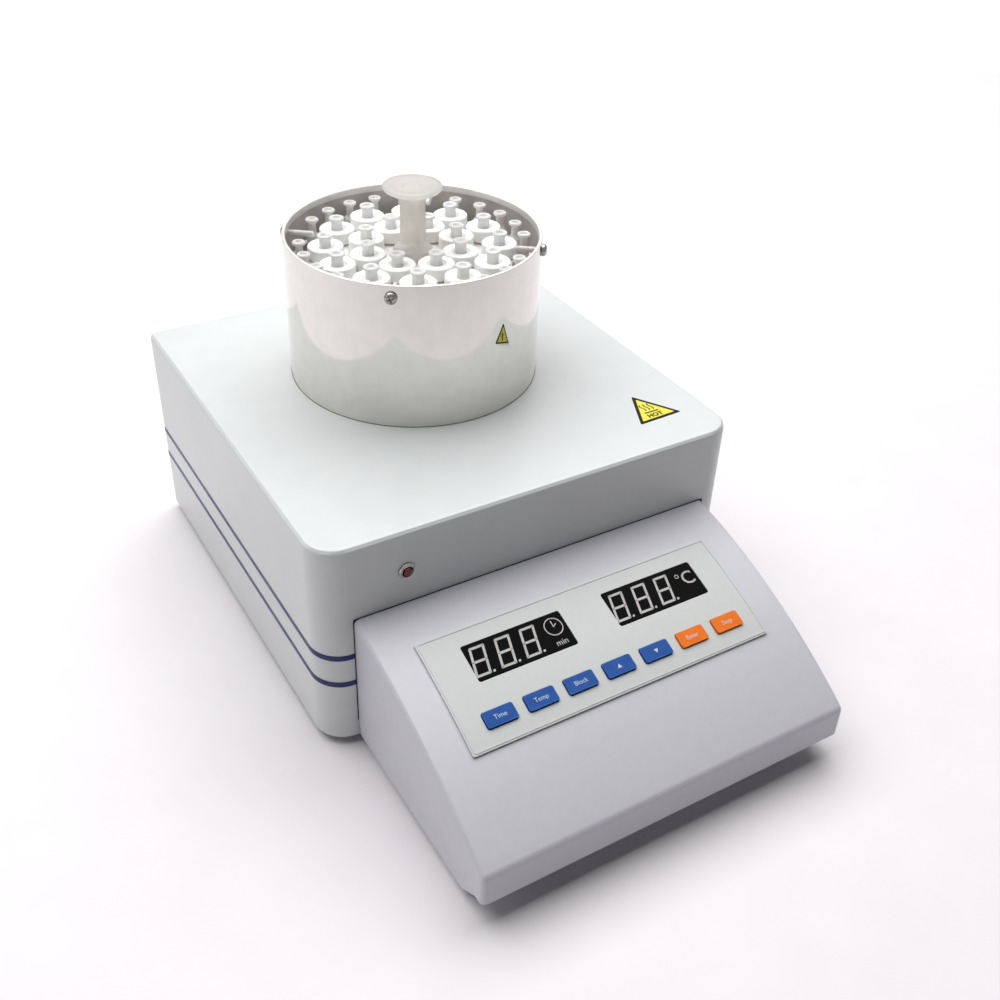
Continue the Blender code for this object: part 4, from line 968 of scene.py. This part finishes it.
# %% [markdown]
# ## The displays
# Each window is closed by a black filter, and three slanted digits show on it. They are off, so
# all the segments show as pale shapes. A segment is a small plate with mitred ends, seven of them
# make a digit, and a shear gives the slant. A clock face with its unit stands at the right of
# one, and a degree sign at the right of the other.
# %% Define digits and lettering
DIGIT_W, DIGIT_H, DIGIT_PITCH = 7.9, 14.8, 13.1
THIRD_DIGIT_X = 5.4
STROKE, SEGMENT_GAP = 1.2, 0.12
POINT_R = 0.65
SLANT = math.tan(math.radians(13.5))
PRINT_LOW, PRINT_T = 0.02, 0.08
WINDOW_W, WINDOW_L = 51.5, 18.5
FILTER_T = 0.5


def digit(x, y):
    """The seven mitred bars and the point of one digit, slanted."""
    a, b, t, g = DIGIT_W / 2, DIGIT_H / 2, STROKE, SEGMENT_GAP
    top = [(-a + g, b), (-a + g + t, b - t), (a - g - t, b - t), (a - g, b)]
    side = [(-a, b - g), (-a, g), (-a + t / 2, g), (-a + t, t / 2 + g), (-a + t, b - t - g)]
    across = [(-a + g + t / 2, 0), (-a + g + t, -t / 2), (a - g - t, -t / 2),
              (a - g - t / 2, 0), (a - g - t, t / 2), (-a + g + t, t / 2)]
    point = [(a + 1.5 + POINT_R * math.cos(w), -b + t / 2 + POINT_R * math.sin(w))
             for w in [math.tau * k / 12 for k in range(12)]]
    bars = [top, [(-u, -v) for u, v in top], across, side, [(-u, -v) for u, v in side],
            [(-u, v) for u, v in side[::-1]], [(u, -v) for u, v in side[::-1]], point]
    return [[(x + u + SLANT * v, y + v) for u, v in bar] for bar in bars]


def add_words(build, words, size, seat, low, high, bold=0.0):
    """Raised lettering in Blender's own font, centred on the seat."""
    curve = bpy.data.curves.new("words", "FONT")
    curve.body, curve.size = words, size
    curve.align_x, curve.align_y = "CENTER", "CENTER"
    curve.resolution_u = 3
    curve.extrude = (high - low) / 2
    curve.offset = bold
    text = bpy.data.objects.new("words", curve)
    scene.collection.objects.link(text)
    bpy.context.view_layer.update()
    graph = bpy.context.evaluated_depsgraph_get()
    mesh = bpy.data.meshes.new_from_object(text.evaluated_get(graph))
    mesh.transform(seat @ Matrix.Translation((0, 0, (low + high) / 2)))
    build.from_mesh(mesh)
    bpy.data.objects.remove(text)
    bpy.data.meshes.remove(mesh)


def face_seat(node):
    """A seat in the middle of a node's outward face."""
    out = reach(node, FACE_OUT)[1]
    face = [v.co for v in nodes[node].data.vertices if v.co.dot(FACE_OUT) > out - 0.2 * MM]
    ups = [corner.dot(FACE_UP) for corner in face]
    centre = FACE_UP * (min(ups) + max(ups)) / 2 + FACE_OUT * out
    return seat_at(centre + Vector((middle(node).x, 0, 0)), FACE_OUT)


def window_seat(node):
    """A seat level with the panel in a window's middle, square to the panel's local slope."""
    x, reach_up = middle(node).x, (WINDOW_L / 2 + 0.8) * MM
    up = (face_seat(node).translation - PANEL_MIDDLE).dot(FACE_UP)
    above, below = on_panel(x, up + reach_up), on_panel(x, up - reach_up)
    return seat_at((above + below) / 2, Vector((1, 0, 0)).cross(above - below))


print("a digit is made of", len(digit(0, 0)), "plates")

# %% [markdown]
# ## Windows and signs
# Each display gets its filter and its digits, then the signs of its own. Both are set level with
# the panel, which is curved, so a window's seat is squared to the slope of the panel round it.
# %% Close the windows and set the signs
window_seats, signs = {}, {}
for name in ("time", "temperature"):
    dress(name + "_display", [DISPLAY_BLACK], 0.0001, 2)
    window_seats[name] = seat = window_seat(name + "_display")
    build = bmesh.new()
    add_plate(build, rounded_rectangle(WINDOW_W, WINDOW_L, 0.15, 2), -FILTER_T, 0.03, seat)
    place(name + "_filter", build, [DISPLAY_BLACK], slot="display_black")
    signs[name] = bmesh.new()
    for place_number in range(3):
        for bar in digit(THIRD_DIGIT_X - DIGIT_PITCH * (2 - place_number), 0):
            add_plate(signs[name], bar, PRINT_LOW, PRINT_T, seat)

build, seat = signs["time"], window_seats["time"]
clock = shifted(seat, 19.5, 2.7)
add_turned(build, oblong(4.2, 4.7, 0, PRINT_T), clock, 40, closed=True)
add_plate(build, oblong(-0.25, 0.25, -0.2, 3.2), 0, PRINT_T, clock)
add_plate(build, [(0, -0.25), (2.0, 1.0), (1.8, 1.4), (0, 0.25)], 0, PRINT_T * 0.9, clock)
add_words(build, "min", 4.3, shifted(seat, 19.3, -5.9), 0, PRINT_T)
build, seat = signs["temperature"], window_seats["temperature"]
add_words(build, "C", 10.2, shifted(seat, 20.7, 1.3), 0, PRINT_T, 0.05)
add_turned(build, oblong(0.75, 1.15, 0, PRINT_T), shifted(seat, 15.6, 4.0), 24, closed=True)
for name, build in signs.items():
    place(name + "_digits", build, [SEGMENT_GREY], slot="display_black")

# %% [markdown]
# ## The keys
# Seven moulded caps stand a millimetre proud of the panel, five blue and two orange. Each is
# sprung and moves on its own, so its print is a piece that rides on the same body as the cap.
# The print says what such a key does, in plain words or an arrow head.
# %% Dress the keys and print on them
KEY_PRINT = {"time": "Time", "temperature": "Temp", "block": "Block", "up": 1, "down": -1,
             "enter": "Enter", "stop": "Stop"}
ARROW = 1.15
for key, words in KEY_PRINT.items():
    node = "key_" + key
    dress(node, [KEY_ORANGE if key in ("enter", "stop") else KEY_BLUE], 0.00025, 3)
    seat = face_seat(node)
    build = bmesh.new()
    if isinstance(words, str):
        add_words(build, words, 3.1, seat, -0.02, 0.03)
    else:
        arrow = [(-ARROW, -ARROW * 0.8), (ARROW, -ARROW * 0.8), (0, ARROW)]
        add_plate(build, [(words * x, words * y) for x, y in arrow], -0.02, 0.03, seat)
    place(f"print_{key}", build, [PRINT_WHITE], BODY_OF[node], SLOT_OF[node])

# %% [markdown]
# ## Two yellow stickers
# A triangle with a dark border warns that the shield is hot. One lies flat on the housing, with
# three waves of heat over a plate, and a small one follows the shield's curve. The border is the
# whole triangle in black film, and the yellow one on top is smaller. A flat face can't bend, so
# the small one is cut into narrow strips before it is wrapped round the shield.
# %% Cut the stickers
def triangle(points, inset, ease, steps=4):
    """A triangle with rounded corners, shrunk towards its middle by about inset."""
    centre = sum((Vector(p) for p in points), Vector((0, 0))) / 3
    shrink = 1 - inset / min((Vector(p) - centre).length for p in points) * 2
    corners = [centre + (Vector(p) - centre) * shrink for p in points]
    outline = []
    for k, here in enumerate(corners):
        before, after = corners[k - 1] - here, corners[(k + 1) % 3] - here
        outline += rounded(here, before, after, ease, steps)
    return [tuple(point) for point in outline]


top_corners = [(71.9, 23.0), (98.0, 24.0), (83.6, 47.7)]
top_seat = seat_at((0, FRONT_Y, BOX_HIGH.z))
sign_seat = shifted(top_seat, 84.3, 0)
build = bmesh.new()
add_plate(build, triangle(top_corners, 0, 1.5), 0, 0.08, top_seat, 0)
add_plate(build, triangle(top_corners, 1.7, 0.7), 0.07, 0.12, top_seat, 1)
for across in (-2.4, 0.0, 2.4):
    wave = [(across + 0.55 * math.sin(math.tau * k / 10), 32.4 + 0.62 * k) for k in range(11)]
    stroke = [(x - 0.33, y) for x, y in wave] + [(x + 0.33, y) for x, y in wave[::-1]]
    add_plate(build, stroke, 0.11, 0.15, sign_seat, 0)
add_plate(build, oblong(-4.3, 4.3, 30.4, 31.3), 0.11, 0.15, sign_seat, 0)
add_words(build, "HOT", 4.2, shifted(sign_seat, 0, 27.6), 0.11, 0.15, 0.16)
place("sticker_housing", build, [STICKER_BLACK, STICKER_YELLOW], slot="white_paint")

SMALL_AZIMUTH = math.radians(284.1)
STRIP_W = 0.5
small_corners = [(-4.5, 1.2), (4.5, -1.2), (0.5, 10.8)]  # a little skewed, as stuck on by hand
flat = Matrix.Identity(4)
build = bmesh.new()
add_plate(build, triangle(small_corners, 0, 0.7, 3), 0.02, 0.10, flat, 0)
add_plate(build, triangle(small_corners, 0.6, 0.3, 3), 0.09, 0.13, flat, 1)
add_plate(build, [(-0.3, 1.6), (0.3, 1.6), (0.5, 5.6), (-0.5, 5.6)], 0.12, 0.15, flat, 0)
for strip in range(-8, 9):
    everything = build.verts[:] + build.edges[:] + build.faces[:]
    bmesh.ops.bisect_plane(build, geom=everything, plane_co=(strip * STRIP_W, 0, 0),
                           plane_no=(1, 0, 0))
wall_seat = seat_at((AXIS.x, AXIS.y, BOX_HIGH.z + 38.1 * MM))
for vertex in build.verts:
    x, y, out = vertex.co
    angle, radius = SMALL_AZIMUTH + x / SHIELD_R, SHIELD_R + out
    vertex.co = wall_seat @ Vector((radius * math.cos(angle), radius * math.sin(angle), y))
place("sticker_shield", build, [STICKER_BLACK, STICKER_YELLOW], slot="polished_steel")

# %% [markdown]
# ## The back
# A mains inlet with a fuse drawer, and a rocker switch, sit in black mouldings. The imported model
# has the blades of the inlet in the same node as its moulding, so a thin plated sleeve goes over
# each to make it metal.
# %% Dress the inlet, the drawer and the switch
for node in ("power_inlet", "fuse_drawer", "switch_frame", "power_rocker"):
    dress(node, [BLACK_PLASTIC], 0.0003, 2)
inlet = middle("power_inlet")
blade_root = Vector((inlet.x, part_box("power_inlet")[1].y - 15.0 * MM, inlet.z - 10.5 * MM))
build = bmesh.new()
for x, z in ((-7.0, -2.0), (7.0, -2.0), (0.0, 2.0)):
    blade = seat_at(blade_root + Vector((x, 0, z)) * MM, (0, 1, 0))
    add_plate(build, rounded_rectangle(2.1, 4.1, 0.3, 2), 0, 11.1, blade)
place("inlet_blades", build, [NICKEL], slot="nickel")
print("inlet at", [round(value, 4) for value in inlet])

# %% [markdown]
# ## The rocker's marks
# The rocker carries the two usual marks, a bar and a ring. Its face is tilted at rest, so a ray
# finds where each mark lies and which way it faces.
# %% Mark the rocker
rocker_low, rocker_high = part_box("power_rocker")
rocker_face = face_of("power_rocker")
BAR_SHARE, RING_SHARE = 0.78, 0.22
MARK_LOW, MARK_HIGH = -0.02, 0.05


def rocker_seat(share):
    """A seat on the rocker's face, at a share of its height."""
    behind = middle("power_rocker")
    behind.y = rocker_high.y + 0.01
    behind.z = rocker_low.z + (rocker_high.z - rocker_low.z) * share
    return seat_at(*rocker_face.ray_cast(behind, Vector((0, -1, 0)))[:2])


build = bmesh.new()
add_plate(build, rounded_rectangle(0.7, 3.6, 0.3, 3), MARK_LOW, MARK_HIGH, rocker_seat(BAR_SHARE))
add_turned(build, oblong(1.3, 1.9, MARK_LOW, MARK_HIGH), rocker_seat(RING_SHARE), 28, closed=True)
place("rocker_marks", build, [PRINT_WHITE], "rocker", "black_plastic")

# %% [markdown]
# ## What is inside
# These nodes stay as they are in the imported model, and only get their finish. It is enough for
# pieces that a closed housing hides.
# %% Give the inner pieces their finish
INNER = {
    "insulation_cup": CERAMIC_FELT, "support_pad": SILICATE, "heating_element": CAST_METAL,
    "temperature_probe": PROBE_STEEL, "thermal_cutout": BLACK_PLASTIC, "power_board": CIRCUIT_GREEN,
    "transformer": LAMINATIONS, "control_board": CIRCUIT_GREEN,
}
for node, material in INNER.items():
    nodes[node].data.materials.clear()
    nodes[node].data.materials.append(material)
undressed = [node for node in nodes if not nodes[node].hide_render and node not in INNER]
print("nodes without a finish:", undressed)

# %% [markdown]
# ## The table
# A bench instrument is shown on a pale table. It is a wide round top with a faint mottle, and no
# wider than the light that falls on it.
# %% Lay the table
TABLE_R, TABLE_T = 1300, 20
build = bmesh.new()
top_edge = [(0, -TABLE_T), (TABLE_R, -TABLE_T, 4), (TABLE_R, 0, 6), (0, 0)]
add_turned(build, eased(top_edge), seat_at((0, 0, 0)), 180)
table_mesh = bpy.data.meshes.new("table")
build.to_mesh(table_mesh)
build.free()
TABLE_WHITE = finish("table top", (231, 227, 230), (234, 230, 233), (0.7, 0.8), 3.0, 0.01)
table_mesh.materials.append(TABLE_WHITE)
table = bpy.data.objects.new("table", table_mesh)
scene.collection.objects.link(table)
print("table", 2 * TABLE_R, "mm across")

# %% [markdown]
# ## The light
# Big soft panels light it. The main one hangs above and behind, so the top is bright and the
# front is in its own shade. A second fills the left. A panel's power grows with its area for the
# same brightness, so both are given by how bright their surface is. The sky is bright where it is
# seen, mirrored or looked at through glass, and adds little light of its own.
# %% Hang the lights
def light_panel(name, place_at, aim, width, depth, brightness):
    """A glowing rectangle that faces its aim, as bright whatever its size."""
    lamp = bpy.data.lights.new(name, "AREA")
    lamp.shape = "RECTANGLE"
    lamp.size, lamp.size_y = width, depth
    lamp.energy = brightness * math.pi * width * depth
    panel = bpy.data.objects.new(name, lamp)
    panel.location = place_at
    panel.rotation_euler = (Vector(aim) - Vector(place_at)).to_track_quat("-Z", "Y").to_euler()
    scene.collection.objects.link(panel)


light_panel("overhead_panel", (0.15, 0.80, 1.9), (0.15, 0.62, 0), 3.6, 2.2, 3.5)
light_panel("left_panel", (-1.8, 0.55, 0.8), (0, 0.1, 0.1), 1.3, 1.0, 0.82)

world = bpy.data.worlds.new("studio")
world.use_nodes = True
scene.world = world
sky = world.node_tree
sky.nodes["Background"].inputs["Color"].default_value = (0.93, 0.94, 0.96, 1)
sky_paths = sky.nodes.new("ShaderNodeLightPath").outputs
AMBIENT, MIRRORED, SEEN = 0.08, 0.45, 1.12
mirrored = maths(sky, "MAXIMUM", sky_paths["Is Glossy Ray"], sky_paths["Is Transmission Ray"])
sky_light = spread(sky, sky_paths["Is Camera Ray"], spread(sky, mirrored, AMBIENT, MIRRORED), SEEN)
plug(sky, sky_light, sky.nodes["Background"].inputs["Strength"])
